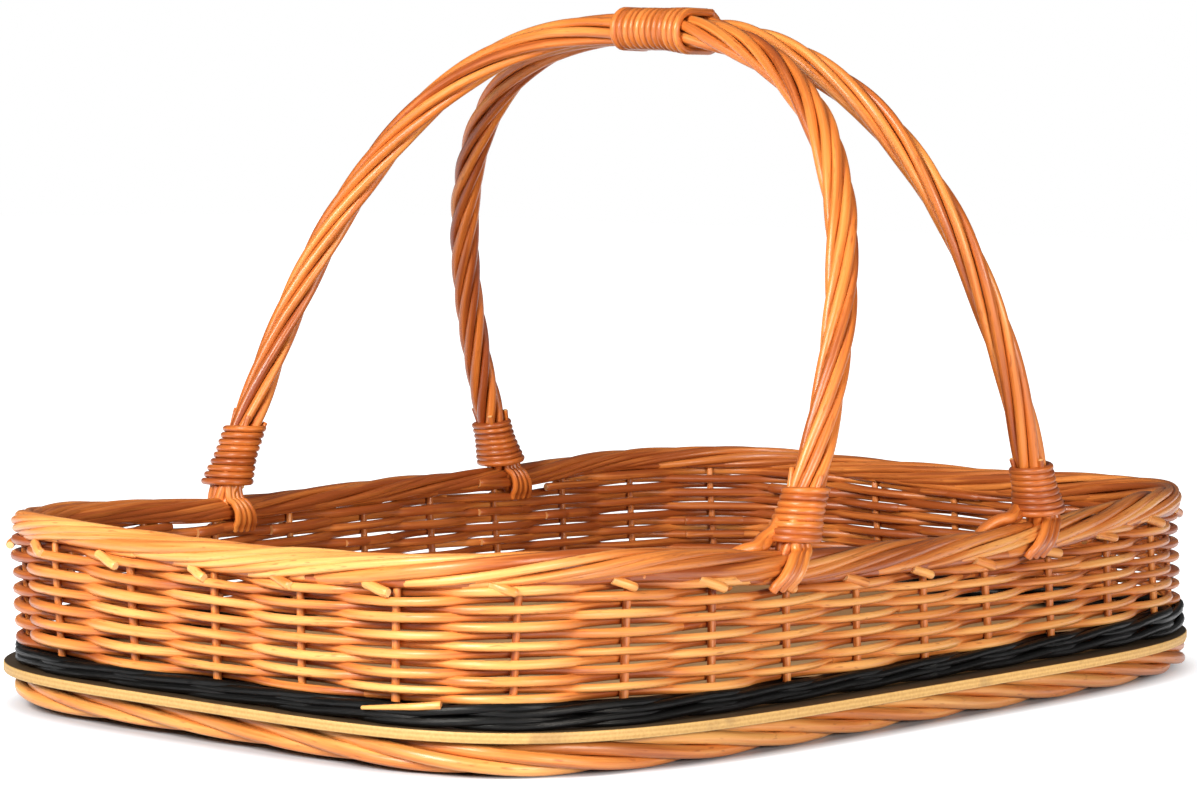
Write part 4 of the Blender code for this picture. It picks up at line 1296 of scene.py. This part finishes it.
@dataclass
class Studio:
    """White floor, soft lamps and the camera at the photograph's angle.

    Attributes:
        floor_ramps: How the floor's glow rises from the tray outwards; each ramp has the two distances from
            its middle, as shares of the shadow's outline, and what it gives at each. Close round the tray the
            glow is still low, which leaves a painted contact shadow there.
        shadow_half: Half the length and half the width of the painted contact shadow's outline.
        sky_light: Strength of the white surroundings as light.
    """

    camera_place: Place = (-1.20746, -1.01658, 0.22348)
    camera_right: Place = (0.64475, -0.76424, 0.014955)
    camera_up: Place = (0.04224, 0.05516, 0.99758)
    camera_back: Place = (-0.76322, -0.64257, 0.06784)
    lens: float = 117.55
    shift: float = -0.0232
    floor_size: float = 6
    floor_colour: Colour = (0.60, 0.63, 0.70)
    floor_ramps: tuple[tuple[float, ...], ...] = ((0.925, 0.99, 0.0, 0.76), (0.99, 1.07, 0.0, 0.44))
    shadow_half: tuple[float, float] = (0.252, 0.166)
    sky_light: float = 0.14

    def build(self) -> None:
        """Set up the stage."""
        scene = bpy.context.scene
        scene.view_settings.view_transform = "Standard"
        self.camera(scene)
        self.floor(scene)
        self.world(scene)
        self.lamp("key_lamp", (-1.15, -0.12, 0.60), (0.45, 0.45), 20, (1.0, 0.97, 0.90))
        self.lamp("front_lamp", (-0.35, -1.35, 0.30), (0.6, 0.2), 12, (1.0, 0.92, 0.82))
        self.lamp("top_lamp", (-0.5, -0.1, 1.5), (0.6, 0.6), 1.5, (1.0, 1.0, 1.0))

    def camera(self, scene: bpy.types.Scene) -> None:
        """Place the camera."""
        data = bpy.data.cameras.new("photo_camera")
        data.lens = self.lens
        data.sensor_width = 36
        data.shift_x = self.shift
        camera = bpy.data.objects.new("photo_camera", data)
        turn = Matrix((self.camera_right, self.camera_up, self.camera_back)).transposed().to_4x4()
        camera.matrix_world = Matrix.Translation(self.camera_place) @ turn
        scene.collection.objects.link(camera)
        scene.camera = camera

    def floor(self, scene: bpy.types.Scene) -> None:
        """A white floor with the tray's cast shadow, and a painted contact shadow where its glow is held back
        close round the tray.
        """
        bm = bmesh.new()
        bmesh.ops.create_grid(bm, x_segments=2, y_segments=2, size=self.floor_size)
        mesh = bpy.data.meshes.new("studio_floor")
        bm.to_mesh(mesh)
        bm.free()
        floor = bpy.data.objects.new("studio_floor", mesh)
        floor.location.z = -0.0001
        scene.collection.objects.link(floor)
        material, make, shader = start_material("studio_floor")
        make.tree.nodes.remove(shader)
        path = make.node("ShaderNodeLightPath").outputs
        seen = make.math("MAXIMUM", path["Is Camera Ray"], path["Is Glossy Ray"])
        place = make.node("ShaderNodeTexCoord").outputs["Object"]
        out = make.math("POWER", make.outline(place, self.shadow_half, BaseBoard.power), 1 / BaseBoard.power)
        # Painted shadow: the floor's glow is held back close round the tray and rises outwards.
        far = make.math("ADD", *(make.ramp(out, *ramp) for ramp in self.floor_ramps))
        glow = make.node("ShaderNodeEmission", {"Strength": make.math("MULTIPLY", seen, far)}).outputs[0]
        diffuse = make.node("ShaderNodeBsdfDiffuse", {"Color": (*self.floor_colour, 1.0)}).outputs[0]
        both = make.node("ShaderNodeAddShader", {0: diffuse, 1: glow}).outputs[0]
        make.fill(make.tree.nodes["Material Output"], {"Surface": both})
        mesh.materials.append(material)

    def world(self, scene: bpy.types.Scene) -> None:
        """White to the camera and through clear things, softer as light."""
        world = bpy.data.worlds.new("studio_world")
        scene.world = world
        world.use_nodes = True
        make = TreeBuilder(world.node_tree)
        path = make.node("ShaderNodeLightPath").outputs
        seen = make.math("MAXIMUM", path["Is Camera Ray"], path["Is Transmission Ray"])
        strength = make.ramp(seen, 0.0, 1.0, self.sky_light)
        make.fill(make.tree.nodes["Background"], {"Color": (1, 1, 1, 1), "Strength": strength})

    def lamp(self, name: str, place: Place, size: tuple[float, float], power: float, colour: Colour) -> None:
        """One soft lamp that looks at the tray.

        Args:
            name: Its name.
            place: Where it stands.
            size: Its width and its height.
            power: Its power in watts.
            colour: The colour of its light.
        """
        data = bpy.data.lights.new(name, "AREA")
        data.shape = "RECTANGLE"
        data.size, data.size_y = size
        data.energy = power
        data.color = colour
        lamp = bpy.data.objects.new(name, data)
        lamp.location = place
        aim = Vector((0, 0, 0.08)) - lamp.location
        lamp.rotation_euler = aim.to_track_quat("-Z", "Y").to_euler()
        bpy.context.scene.collection.objects.link(lamp)


def main() -> None:
    """Build the tray from the board upwards, then the studio."""
    logging.basicConfig(level=logging.INFO, format="%(message)s")
    shop = Workshop(WallLine(), build_rod_tree(), build_bark_group())
    for maker in (BaseBoard(), FootBorder(), Stakes(), Wale(), Weave(), RimBorder(), Handles()):
        maker.build(shop)
        LOG.info("built %s", type(maker).__name__)
    Studio().build()


if __name__ == "__main__":
    main()
